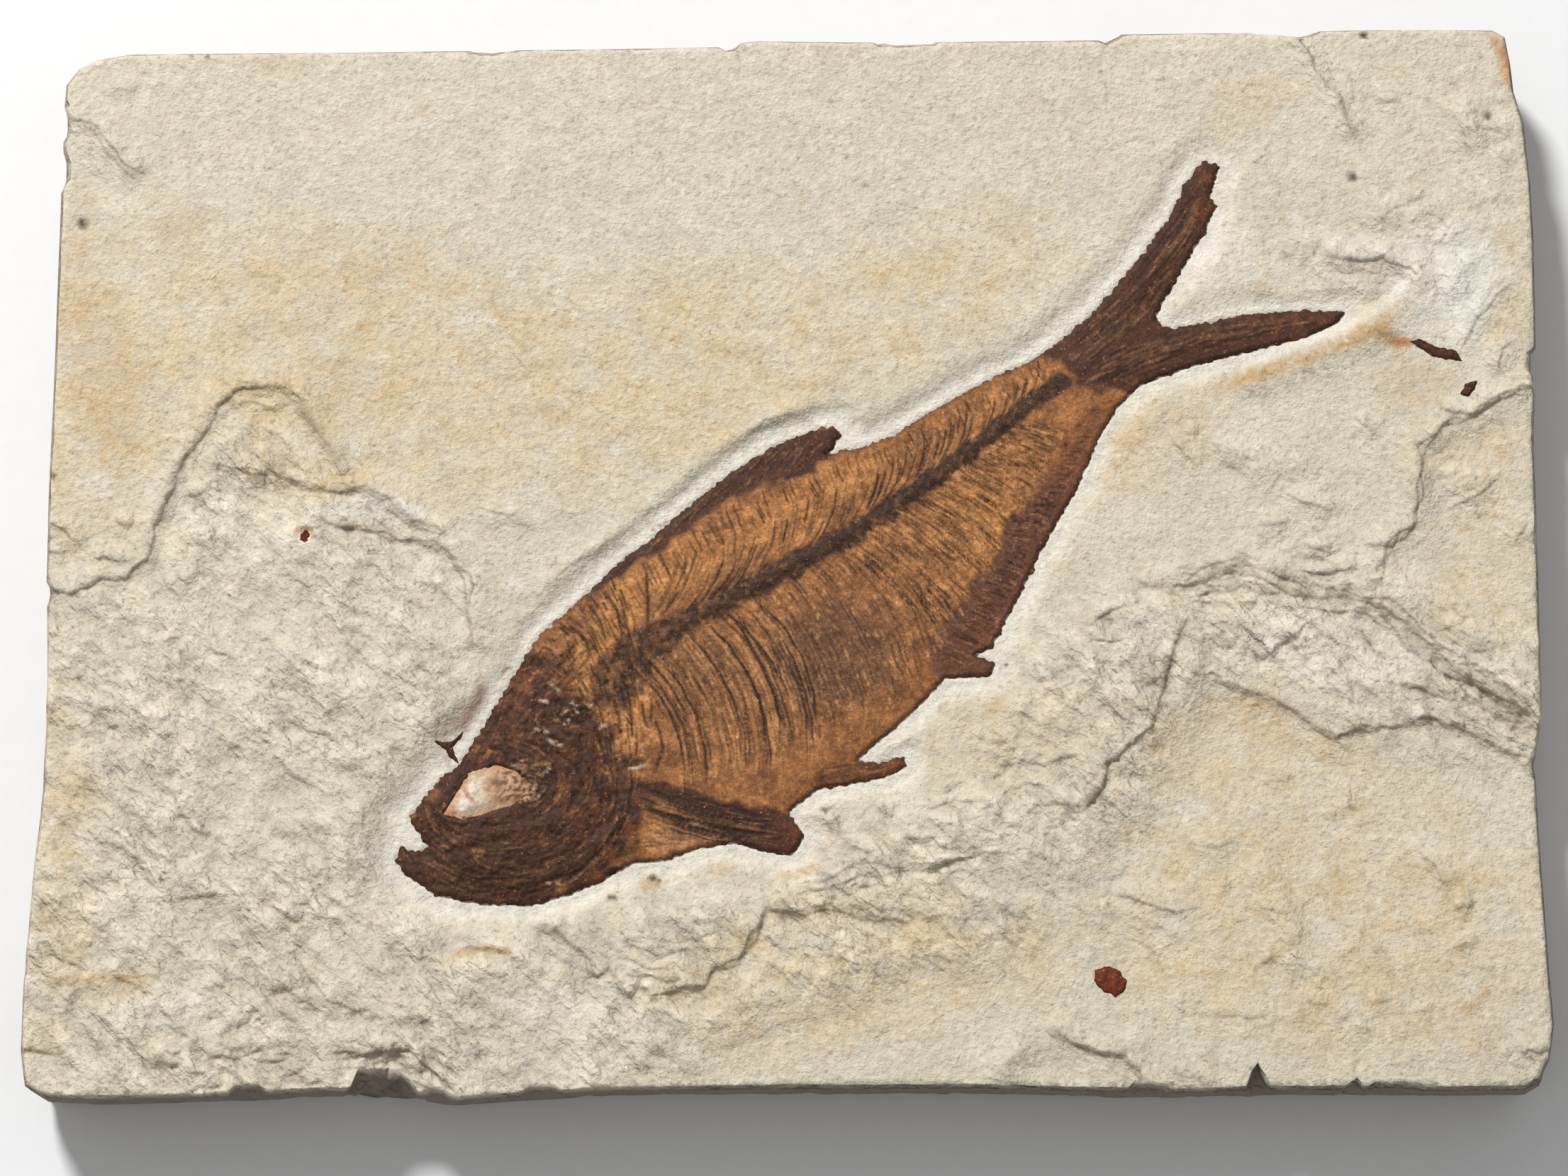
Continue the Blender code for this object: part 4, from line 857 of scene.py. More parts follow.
RUST_SMEARS = (
    Smear(((96.4, 72.6), (97.6, 71), (98.2, 68)), 0.8, 0.35),
    Smear(((1, -42.5), (3, -43.5), (5, -43)), 0.3, 0.5),
    Smear(((19.3, -21.7), (21.3, -20)), 0.35, 0.6),
    Smear(((-38.2, -16.6), (-37, -15.4), (-36.2, -16)), 0.3, 0.7),
    Smear(((-18.3, 3.3), (-16, 4.7)), 0.35, 0.7),
    Smear(((-43.6, -24.4), (-42.4, -22.4), (-41, -20), (-40.4, -17.4)), 1.1, 0.8),
    Smear(((-45.2, -27), (-44.6, -29)), 0.8, 0.4),
    Smear(((-46, -24.4), (-43.6, -22.8), (-41.6, -20.6)), 1.4, 0.5),
    Smear(((-49.2, 65), (-48, 65)), 0.5, 0.5),
    Smear(((-17.6, -28.9), (-16.6, -27.8)), 0.4, 0.8),
    Smear(((81.2, 29.6), (82.6, 29.3), (84.6, 29)), 0.7, 0.5),
)

# Fields of random creases: the land they lie in, how many, which way they run, and the ranges of their
# length and drop. FIRST_CREASES is the first field's seed, and each field after it has the next one.
FIRST_CREASES = 21
Field = namedtuple("Field", "land count turn length drop")
FIELDS = (
    Field(ROUGH_LAND, 170, DIMPLE_TURN, (2, 6), (0.06, 0.2)),
    Field(RIGHT_BAND, 74, -14, (1.6, 6), (0.07, 0.2)),
    Field(UPPER_BAND, 22, -28, (1.6, 5), (0.05, 0.15)),
    Field(NEAR_LEFT, 70, 8, (1.6, 6), (0.1, 0.3)),
    Field(UNDER_BELLY, 60, 8, (1.6, 5), (0.06, 0.2)),
    Field(LOWER_RIGHT, 70, -8, (1.6, 6), (0.05, 0.15)),
    Field(CORNER, 18, 40, (1.6, 5), (0.03, 0.1)),
)


def crease_lines(field, seed):
    """Short steps scattered over a field, with their low side on the right hand."""
    chance = np.random.default_rng(seed)
    land = anticlockwise(field.land)
    low, high = land.min(axis=0), land.max(axis=0)
    made = []
    while len(made) < field.count:
        middle = low + (high - low) * chance.random(2)
        length, drop = chance.uniform(*field.length), chance.uniform(*field.drop)
        angle = math.radians(field.turn + 14.0 * chance.normal())
        bend = 0.5 * chance.normal()
        if depth_inside(middle[None], land)[0] > 1.0 and depth_inside(middle[None], FISH)[0] < -4.0:
            half = 0.5 * length * np.array([math.cos(angle), math.sin(angle)])
            bulge = bend * np.array([-half[1], half[0]]) * 0.4
            made.append((drop, middle - half, middle + bulge, middle + half))
    return made


def all_ledges():
    """The placed ledges, the small steps and random creases, and the soft slopes, always in this order."""
    small = list(SMALL_STEPS)
    for number, field in enumerate(FIELDS):
        small += crease_lines(field, FIRST_CREASES + number)
    made = list(LEDGES)
    made += [Ledge(points, drop, SMALL_REACH) for drop, *points in small]
    for drop, width, *points in SOFT_SLOPES:
        made.append(Ledge(points, drop, SOFT_REACH, width, steps=0, ramp=width))
    return made


def broken_edge(ledge, step, number):
    """The jagged line that one thin bed of a ledge ends in."""
    line = resampled(ledge.points, LEDGE_PACE)
    seed = 40 + 7 * number + step
    out = (step - (ledge.steps - 1) / 2.0) * ledge.spread * (1.0 + 0.9 * noise(line, 9.0, seed))
    out = out + min(RAGGED, ledge.reach / 8.0) * rough(line, RAGGED_SIZE, 3, seed + 3)
    return beside(line, out)


ALL_LEDGES = all_ledges()
BROKEN_EDGES = [
    [broken_edge(ledge, step, number) for step in range(ledge.steps)]
    for number, ledge in enumerate(ALL_LEDGES)
]


def ledge_drop(places, ledge, edges):
    """How far one ledge lowers the stone, the painted shade and dirt of its crevice, and how near it is."""
    distance, side, share = nearest(places, ledge.points)
    length = np.linalg.norm(np.diff(np.array(ledge.points), axis=0), axis=1).sum()
    strength = np.exp(-((distance / ledge.reach) ** 2))
    fade = min(FADE_LENGTH, 0.4 * length)
    if ledge.fades[0]:
        strength = strength * smooth(share * length / fade)
    if ledge.fades[1]:
        strength = strength * smooth((1.0 - share) * length / fade)
    wall = np.where(side > 0.0, 1.0, 0.0)
    crevice_shade_and_dirt = np.zeros(len(places))
    close = distance < LEDGE_CLOSE
    wall[close] = 0.0
    for edge in edges:
        away, hand, _ = nearest(places[close], edge)
        away = away * hand
        wall[close] += smooth(0.5 + away / ledge.width) / ledge.steps
        foot = (away - 0.5 * ledge.width) / CREVICE_WIDTH
        foot = np.where(foot < 0.0, 1.8 * foot, foot)
        crevice_shade_and_dirt[close] = np.maximum(crevice_shade_and_dirt[close], np.exp(-(foot**2)))
    if ledge.ramp:
        ramped = RAMP_SHARE if ledge.steps else 1.0
        wall = wall * (1.0 - ramped) + ramped * smooth(0.5 + side * distance / ledge.ramp)
    drop = ledge.drop * strength
    near = np.exp(-((distance / BROKEN_REACH) ** 2)) * smooth(drop / CREVICE_DROP)
    return drop * wall, crevice_shade_and_dirt * smooth(drop / max(ledge.steps, 1) ** 0.5 / CREVICE_DROP), near


def around(places, ledge):
    """Which of the places this ledge can reach."""
    points, reach = np.array(ledge.points), LEDGE_FAR * ledge.reach
    low, high = points.min(axis=0) - reach, points.max(axis=0) + reach
    return np.flatnonzero(np.all((places > low) & (places < high), axis=1))


def folded(places, size, seed):
    """Rounded lumps with sharp creases between them, from 0 in the creases to about 1."""
    return 1.6 * np.abs(noise(places, size, seed))


def flakes(places, size, seed):
    """Thin beds that have come away in flakes, as a height that climbs in sharp-edged treads."""
    level = 2.2 * rough(places, size, 3, seed)
    tread = np.floor(level)
    return tread + smooth((level - tread - 0.72) / 0.28)


def smeared(places, smears):
    """How strong the smears are at each place."""
    strength = np.zeros(len(places))
    for smear in smears:
        distance, _, share = nearest(places, smear.points)
        mark = smear.strength * taper(share, 4.0, 0.3)
        strength = np.maximum(strength, mark * smooth(1.2 * (1.0 - distance / smear.width)))
    return strength


def cut_ledges(places, height):
    """Lowers the heights by every ledge. Gives back the painted crevice shade and dirt, and the crumbling.
    """
    crevice_shade_and_dirt, broken = np.zeros(len(places)), np.zeros(len(places))
    for ledge, edges in zip(ALL_LEDGES, BROKEN_EDGES):
        spots = around(places, ledge)
        drop, foot, near = ledge_drop(places[spots], ledge, edges)
        height[spots] -= drop
        crevice_shade_and_dirt[spots] = np.maximum(crevice_shade_and_dirt[spots], foot)
        broken[spots] = np.maximum(broken[spots], near)
    return crevice_shade_and_dirt, broken


def stone_relief(places, drifted, roughness, broken, grain):
    """Dimples, knobs, crumbs and thin flakes of the stone's top."""
    aslant = turned(drifted, DIMPLE_TURN)
    dimples = noise(aslant, DIMPLE_SIZE, 3) + SWELL_SHARE * noise(aslant, SWELL_SIZE, 7)
    knobs = folded(aslant, (3.2, 1.7), 4) + 0.5 * folded(turned(drifted, DIMPLE_TURN + 20.0), (1.9, 1.2), 5)
    lumps = rough(drifted, 3.6, 2, 6)
    relief = roughness * (DIMPLE_DEPTH * dimples + KNOB_DEPTH * (knobs - 0.7) + 0.06 * lumps)
    relief = relief + 0.05 * lumps + 0.035 * grain
    relief = relief + broken * 0.12 * (rough(drifted, 2.2, 3, 16) - 0.3)
    flaked = smooth(1.5 * noise(places, 26.0, 12) + 0.2 + 0.6 * roughness)
    return relief + 0.07 * flaked * flakes(drifted, 8.0, 14)


def small_marks(places, drift, height, crevice_shade_and_dirt):
    """Heights and crevice shade with the cracks, shade smears, rims and pits in them, and the pits' dirt."""
    for line in CRACKS:
        distance, _, share = nearest(places + 0.25 * drift, line)
        groove = taper(share, 5.0, 0.2) * np.clip(1.0 - distance / CRACK_WIDTH, 0.0, 1.0)
        height = height - CRACK_DEPTH * groove
        # Each crack adds painted shade along its groove, and the shade smears add more painted shade.
        crevice_shade_and_dirt = np.maximum(crevice_shade_and_dirt, 0.7 * groove)
    crevice_shade_and_dirt = np.maximum(crevice_shade_and_dirt, smeared(places + 0.2 * drift, SHADE_SMEARS))
    for line, width, rise in RIMS:
        distance, _, share = nearest(places + 0.2 * drift, line)
        height = height + rise * taper(share, 4.0, 0.2) * smooth(1.0 - distance / width)
    dirt = np.zeros(len(places))
    for pit in PITS:
        distance = np.hypot(places[:, 0] - pit.x, places[:, 1] - pit.y)
        hole = smooth(1.4 * (1.0 - distance / pit.radius))
        height = height - pit.depth * hole
        dirt = np.maximum(dirt, pit.dark * hole)
    return height, crevice_shade_and_dirt, dirt


def stone_surface(places):
    """Height of the stone's top and its tones."""
    drift = 1.6 * drift_of(places, 9.0, 1)
    drifted = places + drift
    height = SLAB_TOP + SWELL * wobble(places)
    crevice_shade_and_dirt, broken = cut_ledges(places, height)
    roughness = smooth(depth_inside(places, ROUGH) / 8.0 + 0.4)
    roughness = roughness * (0.8 + 0.4 * noise(places, 13.0, 11))
    grain = noise(places, 1.7, 9)
    relief = stone_relief(places, drifted, roughness, broken, grain)

    outside = -depth_inside(places, FISH)
    away, side, _ = nearest(places, BACKBONE)
    above = smooth(0.5 - side * away / 4.0) * smooth((places[:, 0] - NAPE) / 9.0)

    def shared(pair):
        return pair[1] + (pair[0] - pair[1]) * above

    wander = 0.45 * rough(places, 6.0, 3, 20)
    snout = smooth((NAPE - places[:, 0]) / 9.0)
    slope = shared(TRENCH_BANK) * (1.0 + 0.5 * noise(places, 11.0, 23) + 0.6 * snout)
    scraped = 1.0 - smooth((outside - shared(TRENCH_WIDTH) - wander) / slope)
    height = height + relief * (1.0 - scraped)
    trench = FISH_PLANE - TRENCH_SINK * smooth(outside / 1.2) + 0.02 * grain
    height = height + (trench - height) * scraped
    height = height - FISH_SEAT * smooth((0.2 - outside) / 0.5)
    height, crevice_shade_and_dirt, dirt = small_marks(places, drift, height, crevice_shade_and_dirt)

    rust, amber = smeared(places + 0.15 * drift, RUST_SMEARS), smeared(places + 0.15 * drift, AMBER_SMEARS)
    mottled = places + 3.0 * drift_of(places, 14.0, 31)
    halo = 1.0 - smooth((outside - shared(HALO_WIDTH) - wander - 0.6 * snout) / shared(HALO_FADE))
    tones = {
        "ochre": patches(mottled, OCHRE_SPOTS) * (0.62 + 0.7 * rough(places, 6.0, 5, 33)),
        "grey": patches(mottled, GREY_SPOTS) * (0.7 + 0.5 * rough(places, 6.0, 4, 36)),
        "chalk": patches(mottled, CHALK_SPOTS),
        "halo": np.maximum(halo, patches(places, PALE_SPOTS)),
        "amber": np.maximum(0.7 * patches(places + 0.25 * (mottled - places), AMBER_SPOTS), amber),
        "dirt": dirt,
        "orange": smeared(places, ORANGE_SMEARS),
        "rust": np.maximum(rust, patches(places, RUST_SPOTS)),
        # painted shade, with some dirt, at the foot of the ledges and in the cracks
        "crevice_shade_and_dirt": crevice_shade_and_dirt * (1.0 - scraped) * (0.75 + 0.5 * noise(places, 4.0, 38)),
        # painted shade, stronger where the relief is low
        "hollow": 0.5 - 1.1 * relief,
        "rugged": np.maximum(roughness, 0.6 * broken) * (1.0 - scraped),
    }
    return height, tones


def stone_grid():
    """Plan points for the stone's top: close together where it is broken, and sparse under the fish."""
    low, high = SLAB.min(axis=0), SLAB.max(axis=0)
    lines = [edge for edges in BROKEN_EDGES for edge in edges] + list(CRACKS)
    pits = [((pit.x, pit.y), (pit.x + 0.1, pit.y)) for pit in PITS]
    kept = []
    for number, step in enumerate((FINE_STEP, TRENCH_STEP, ROUGH_STEP, PLAIN_STEP, HIDDEN_STEP)):
        places = even_grid(low, high, step, 60 + 2 * number)
        fine = marked(places, lines, FINE_REACH) | marked(places, pits, PIT_REACH)
        wanted = np.full(len(places), PLAIN_STEP)
        if step >= TRENCH_STEP:
            outside = -depth_inside(places, FISH)
            wanted[depth_inside(places, ROUGH) > -ROUGH_REACH] = ROUGH_STEP
            wanted[outside < TRENCH_REACH] = TRENCH_STEP
            wanted[outside < -UNDER_FISH] = HIDDEN_STEP
        wanted[fine] = FINE_STEP
        kept.append(places[wanted == step])
    for ledge, edges in zip(ALL_LEDGES, BROKEN_EDGES):
        kept += [beside(edge, row * ledge.width) for edge in edges for row in LEDGE_ROWS]
    kept += [resampled(line, LEDGE_PACE) for line in CRACKS]
    places = np.vstack(kept)
    return places[depth_inside(places, SLAB) > 0.6 * EDGE_STEP]


# Chips knocked out of the rim: where they are, how wide, how deep, and the share of the height they reach
# down to
Bite = namedtuple("Bite", "x y width depth floor")
BITES = (
    Bite(-54, -72, 4.2, 2.6, 0.1), Bite(-50, -72, 3, 2, 0.2), Bite(-45.6, -72.8, 3.4, 1, 0.5),
    Bite(-71, -72.2, 3.4, 1, 0.4), Bite(-32, -72, 4, 0.7, 0.5), Bite(61.2, -71.6, 2.3, 3.4, 0.5),
    Bite(73.8, -71.6, 1.3, 1.2, 0.6), Bite(47, -71.8, 3, 0.9, 0.5), Bite(80, -71.7, 5, 0.6, 0.5),
    Bite(98, -70.4, 3, 0.6, 0.4), Bite(-99.2, 60, 3.4, 0.8, 0.3), Bite(-99, 54, 3, 0.9, 0.5),
    Bite(-99, -5, 1.6, 0.7, 0.4), Bite(100, -28, 2.4, 0.5, 0.3), Bite(100.2, 26, 3, 0.9, 0.4),
    Bite(-8, 71.8, 2, 0.8, 0.5), Bite(44, 73, 2.2, 0.8, 0.5), Bite(70, 73.4, 2.4, 0.9, 0.4),
    Bite(-40, 71, 4, 0.7, 0.5), Bite(16, 72.2, 5, 0.6, 0.4),
)
DEEPEST_BITE = 3.6
SIDE_OUT = 0.5  # how far the side as a whole is moved out again, so that it stands on its outline
SIDE_BEDS = ((0.14, 0.5), (0.3, 0.35), (0.44, 0.6), (0.62, 0.4), (0.8, 0.6))  # share of the height, depth


def side_inset(outline, share):
    """How far the block's broken side stands back from its outline, at this share of its height."""
    steps = np.linalg.norm(np.roll(outline, -1, axis=0) - outline, axis=1)
    travel = np.concatenate([[0.0], np.cumsum(steps)[:-1]])
    angle = TURN * travel / steps.sum()
    ring = steps.sum() / TURN
    around = np.column_stack([ring * np.cos(angle), ring * np.sin(angle)])
    beds = np.zeros(len(travel))
    for number, (level, deep) in enumerate(SIDE_BEDS):
        shifted = level + 0.05 * noise(around, 17.0, 70 + number)
        strength = smooth(0.6 + noise(around, 11.0, 80 + number))
        beds += deep * strength * np.exp(-(((share - shifted) / 0.05) ** 2))
    chips = 0.4 + 0.35 * rough(around + 9.0 * share, 5.0, 3, 90)
    lean = 1.1 * smooth((0.6 - share) / 0.6) + 0.75 * smooth((share - 0.9) / 0.1)
    inset = 0.1 + beds + chips * (0.35 + 0.65 * smooth(1.0 - share)) + lean
    jagged = 0.5 * rough(around + 4.0 * share, 2.4, 3, 99)
    for bite in BITES:
        away = np.hypot(outline[:, 0] - bite.x, outline[:, 1] - bite.y) / bite.width + jagged
        inset += bite.depth * smooth(1.5 - 1.5 * away) * smooth((share - bite.floor) / (1.0 - bite.floor))
    return np.clip(inset - SIDE_OUT, 0.02, DEEPEST_BITE)


def add_sides(corners, triangles, outline, rim, rim_heights):
    """Adds rings of corners down the broken side. Gives back the lowest ring's plan and numbers."""
    ring, count = rim, len(corners[0])
    for level in range(1, SIDE_RINGS + 1):
        share = 1.0 - level / SIDE_RINGS
        places = grown(outline, -side_inset(outline, share))
        corners.append(to_scene(places, share * rim_heights))
        lower = list(range(count, count + len(outline)))
        triangles += walls(ring, lower)
        ring, count = lower, count + len(outline)
    return places, ring


def add_underside(corners, triangles, base_plan, ring):
    """Adds the faintly hollowed underside inside the lowest ring. Gives back how many corners it has."""
    loose = even_grid(SLAB.min(axis=0), SLAB.max(axis=0), UNDER_STEP, 95)
    loose = loose[depth_inside(loose, SLAB) > UNDER_MARGIN]
    under, facets, under_rim = triangulated(base_plan, loose)
    fade = smooth(depth_inside(under, SLAB) / 6.0)
    hollows = 0.5 * np.maximum(0.0, rough(under, 16.0, 4, 97) - 0.1) * fade
    numbers = dict(zip(under_rim, ring))
    fresh = [index for index in range(len(under)) if index not in numbers]
    count = sum(map(len, corners))
    numbers.update({index: count + order for order, index in enumerate(fresh)})
    corners.append(to_scene(under[fresh], hollows[fresh]))
    triangles += [tuple(numbers[index] for index in facet)[::-1] for facet in facets]
    return len(fresh)


def with_side_tones(tones, corners, top, under):
    """The tones of all corners: first the `top` ones, then the side's, and last the `under` ones."""
    extra = len(corners) - top
    tones = {tone: np.concatenate([values, np.zeros(extra)]) for tone, values in tones.items()}
    tones["hollow"][top:] = 0.5
    tones["rugged"][top:] = 1.0
    places = corners[top:, :2] / MM + CENTRE
    bands = np.column_stack([places[:, 0] - places[:, 1], 5.0 * corners[top:, 2] / MM])
    # The side's dark colour is painted shade. Pale patches lighten it, but not on the near side, which keeps
    # all of it.
    pale = smooth(0.5 + 1.1 * rough(bands, 16.0, 4, 98)) * smooth((places[:, 1] + 66.0) / 20.0)
    tones["ochre"][top:] = 0.7 * smooth(0.35 + rough(places, 18.0, 4, 94))
    tones["side"] = np.concatenate([np.zeros(top), 1.0 - 0.55 * pale])
    # The underside has a weaker share of that painted shade.
    tones["side"][-under:] = 0.3 + 0.12 * noise(places[-under:], 12.0, 93)
    return tones


def build_stone(made_of):
    """The whole block as one closed mesh: top, broken side and underside."""
    outline = resampled(SLAB, EDGE_STEP, closed=True)
    rim_plan = grown(outline, -side_inset(outline, 1.0))
    plan, triangles, rim = triangulated(rim_plan, stone_grid())
    heights, tones = stone_surface(plan)
    corners = [to_scene(plan, heights)]
    base_plan, ring = add_sides(corners, triangles, outline, rim, heights[rim])
    under = add_underside(corners, triangles, base_plan, ring)
    corners = np.vstack(corners)
    tones = with_side_tones(tones, corners, len(plan), under)
    return add_piece("stone_block", corners, triangles, tones, made_of)


# ---------------------------------------------------------------- fish

# The parts of the fish that differ in colour, and the eye socket with the depth of its bed
HEAD = (
    (-52, -39.5), (-50.5, -35.7), (-46.5, -30), (-43.8, -28.2), (-42.4, -26), (-37.6, -17.6),
    (-34.6, -13), (-32.6, -13.6), (-30, -16.6), (-27.6, -20.5), (-24.4, -22.8), (-23.6, -26), (-22, -29),
    (-19.4, -31.6), (-18.6, -34), (-19.4, -37), (-20.6, -40.4), (-23, -44), (-28.7, -46.4), (-33.7, -48),
    (-40, -47.8), (-46.6, -46.6), (-51, -43.6), (-52.4, -41),
)
DORSAL_FIN = (
    (-29.6, -7.6), (-25.5, -3.2), (-22.9, -0.6), (-19, 2.4), (-14.4, 6.6), (-10.3, 10), (-6.2, 13),
    (-2, 15.6), (2.4, 17.4), (7.8, 17.6), (5.6, 13.2), (3.4, 11.4), (0, 10.3), (-4, 9), (-8, 7),
    (-12, 4.4), (-16, 1.2), (-20, -1.4), (-24.6, -4.4),
)
TAIL_FIN = (
    (33.6, 27.9), (36.4, 30.2), (41.6, 35), (45, 39), (51, 47.2), (53.2, 52), (56.4, 56), (60, 55),
    (58.6, 48.4), (54, 39), (51.4, 34.6), (56, 33), (70, 34.6), (76.4, 34), (74.6, 31), (70, 29.4),
    (63.2, 27.6), (54.7, 25.4), (48.4, 23.2), (44.4, 22.2), (40.4, 22.6), (38.4, 24.2), (37.4, 26.2),
    (35.6, 27.2),
)
ANAL_FIN = (
    (18.6, -11.2), (21, -9.6), (23.4, -6.8), (24.6, -4.2), (27, -1.4), (28, 0.8), (29, 3.8), (31.6, 6.6),
    (33.4, 8.2), (34.2, 10.6), (36.2, 12.4), (37.6, 15.6), (39.2, 18), (41.4, 20.4), (43, 19.4),
    (42.6, 16), (40.4, 11.3), (38.9, 8.3), (36.3, 4), (34, -0.3), (31.7, -5.3), (29.2, -9.7), (28, -12.6),
    (28.6, -15), (27.2, -17.4), (20.7, -17.4), (18.8, -15.6),
)
PECTORAL_FIN = (
    (-20.8, -30.6), (-17.6, -30.8), (-12, -32.4), (-6, -34), (-0.6, -34.8), (2.8, -38.3), (1, -41.2),
    (-3, -40.8), (-7, -39), (-10.6, -37), (-14, -34.6), (-20.4, -32.8),
)
PELVIC_FIN = (
    (2.6, -31.6), (4.8, -29.4), (9, -28.8), (12, -28), (16, -26.8), (16.2, -29), (12.9, -30.7),
    (8, -31.8), (3.6, -32.4),
)
EYE_OUTLINE = (
    (-45.6, -35.4), (-43.6, -32.4), (-42, -30), (-38.5, -28.5), (-36, -29.2), (-33.2, -31.4),
    (-36, -34.1), (-39.8, -35.4), (-43, -36.3),
)
EYE_BED = 0.7

# Where the film is torn into teeth: the line, and how far the teeth reach. Elsewhere its edge wanders by
# EDGE_WANDER.
Fray = namedtuple("Fray", "points reach")
FRAYS = (
    Fray(((58.7, 54.3), (57.4, 50.2), (58.1, 48.6), (53.4, 39.7), (49.6, 32.4)), 0.55),
    Fray(((51.8, 31.2), (62.4, 33.3), (75.4, 33.6), (70, 30.1), (54.7, 26.2)), 0.2),
    Fray(((41.7, 16), (38.3, 8.3), (33.3, -0.3), (28.7, -9.7), (27.2, -12.6)), 0.5),
    Fray(((27.6, -15), (26.7, -16.6), (20.7, -16.9)), 0.3),
    Fray(((-14, 6), (-2, 14.9), (6.9, 17), (5.4, 14.2)), 0.25),
    Fray(((0.5, -40.6), (-2.7, -40.2), (-12, -39.7), (-20.3, -41.6)), 0.3),
    Fray(((-20.3, -41.6), (-28.7, -45.8), (-40, -47.1), (-46, -46)), 0.3),
)
EDGE_WANDER = 0.36
COARSE_BAND = 1.3  # the torn outline never strays this far from the plain one

# A line drawn into the fish: bones stand up, and seams between them are dark
Stroke = namedtuple("Stroke", "points width height dark pale", defaults=(0.0, 0.0))

# Streaks in a fan between two lines, each a random piece of the way from the one to the other. `length`
# is the range of their lengths as a share of the whole way, and `dark` and `pale` are their strongest.
# A group is one pair of lines and its bow, with a row for each kind of streak between them.
Fan = namedtuple("Fan", "roots tips bow count length width height dark pale", defaults=(0.0, 0.0))
FAN_GROUPS = (
    # ribs of the chest: long seams, bones between them, and short fine seams
    (CHEST_COLUMN, CHEST_FLOOR, 0.12, (
        (30, (0.5, 0.95), 0.3, -0.1, 1.4), (150, (0.08, 0.35), 0.2, -0.06, 1),
        (190, (0.06, 0.35), 0.26, 0.09, 0, 1),
    )),
    # mottled scales behind them
    (FLANK_COLUMN, FLANK_FLOOR, 0.08, (
        (150, (0.05, 0.25), 0.2, -0.07, 0.9), (170, (0.02, 0.08), 0.26, 0.09, 0, 1.2),
        (12, (0.25, 0.6), 0.2, -0.07, 0.8),
    )),
    # thin bones between the column and the anal fin
    (HIND_COLUMN, HIND_FLOOR, 0.05, (
        (420, (0.06, 0.3), 0.2, -0.07, 1.1), (380, (0.03, 0.18), 0.24, 0.08, 0, 1.1),
    )),
    # spines that lean aft from the column, and those that hang from the back
    (BACK_COLUMN, BACK_LINE, -0.1, (
        (90, (0.25, 0.8), 0.24, -0.08, 1.2), (150, (0.1, 0.4), 0.26, 0.09, 0, 0.9),
    )),
    (BACK_EDGE, BACK_MIDDLE, -0.05, (
        (90, (0.3, 0.8), 0.22, -0.08, 1.15), (130, (0.1, 0.4), 0.26, 0.08, 0, 0.9),
    )),
    # rays of the fins
    (DORSAL_FIN_ROOT, DORSAL_FIN_EDGE, 0.04, (
        (90, (0.2, 0.7), 0.24, -0.07, 0.8), (60, (0.1, 0.5), 0.26, 0.08, 0, 0.5),
    )),
    (ANAL_FIN_ROOT, ANAL_FIN_EDGE, 0.03, (
        (110, (0.3, 0.9), 0.24, -0.08, 1.2), (110, (0.1, 0.5), 0.24, 0.08, 0, 0.6),
    )),
    (TAIL_ROOT_UPPER, TAIL_EDGE_UPPER, -0.05, (
        (120, (0.1, 0.5), 0.26, -0.07, 0.85), (90, (0.05, 0.3), 0.28, 0.09, 0, 0.6),
    )),
    (TAIL_ROOT_LOWER, TAIL_EDGE_LOWER, 0.05, (
        (110, (0.1, 0.4), 0.26, -0.07, 0.85), (90, (0.05, 0.25), 0.28, 0.09, 0, 0.6),
    )),
    (PECTORAL_ROOT, PECTORAL_TIP, -0.05, (
        (54, (0.2, 0.8), 0.26, -0.12, 1.3), (50, (0.1, 0.4), 0.28, 0.12, 0, 0.6),
    )),
    (PELVIC_ROOT, PELVIC_TIP, 0, (
        (18, (0.3, 0.9), 0.24, -0.07, 0.8), (16, (0.2, 0.7), 0.26, 0.08, 0, 0.7),
    )),
    # throat, brow and cheek
    (*THROAT, 0.03, (
        (30, (0.2, 0.7), 0.24, -0.06, 0.7), (30, (0.2, 0.7), 0.26, 0.08, 0, 0.8),
    )),
    (*BROW, 0.04, (
        (130, (0.02, 0.12), 0.34, -0.1, 0.8), (80, (0.02, 0.08), 0.34, 0.12, 0, 0.5),
    )),
    (*TEMPLE, 0.05, (
        (70, (0.1, 0.3), 0.26, 0.12, 0, 1.6), (50, (0.1, 0.35), 0.24, -0.12, 1.3),
    )),
    (*CHEEK, 0.06, (
        (120, (0.04, 0.22), 0.28, -0.1, 1.1), (120, (0.03, 0.16), 0.3, 0.12, 0, 0.9),
    )),
    (*CROWN, 0.05, (
        (70, (0.1, 0.4), 0.26, -0.1, 1.2), (60, (0.06, 0.3), 0.3, 0.12, 0, 0.9),
    )),
)
FANS = [Fan(*lines, *streaks) for *lines, rows in FAN_GROUPS for streaks in rows]

# Streaks that run in arcs: their centre and half axes, the turns they lie between, how many, the range of
# their distances out as a share of the half axes, and how strong the pale ones are
Swirl = namedtuple("Swirl", "centre radii turns count out pale")
DARK_SHARE = 0.6
FAINTEST = 0.25  # the weakest streak of a fan or a swirl, as a share of the strongest
SWIRLS = (
    Swirl((-37, -31), (17.5, 15.5), (195, 350), 300, (0.5, 0.98), 0.45),
    Swirl((-39.4, -31.2), (10.2, 6.6), (-60, 85), 90, (0.62, 1), 0.7),
    Swirl((-40, -32), (8.4, 5.4), (200, 300), 30, (0.7, 1), 0.4),
    Swirl((-33.6, -15.6), (4.4, 3.4), (0, 300), 60, (0.15, 1), 0.9),
    Swirl((-28.6, -21.4), (5.4, 3.6), (0, 360), 80, (0.1, 1), 1.2),
    Swirl((-23, -25.6), (3.2, 5), (0, 360), 50, (0.1, 1), 1.2),
)

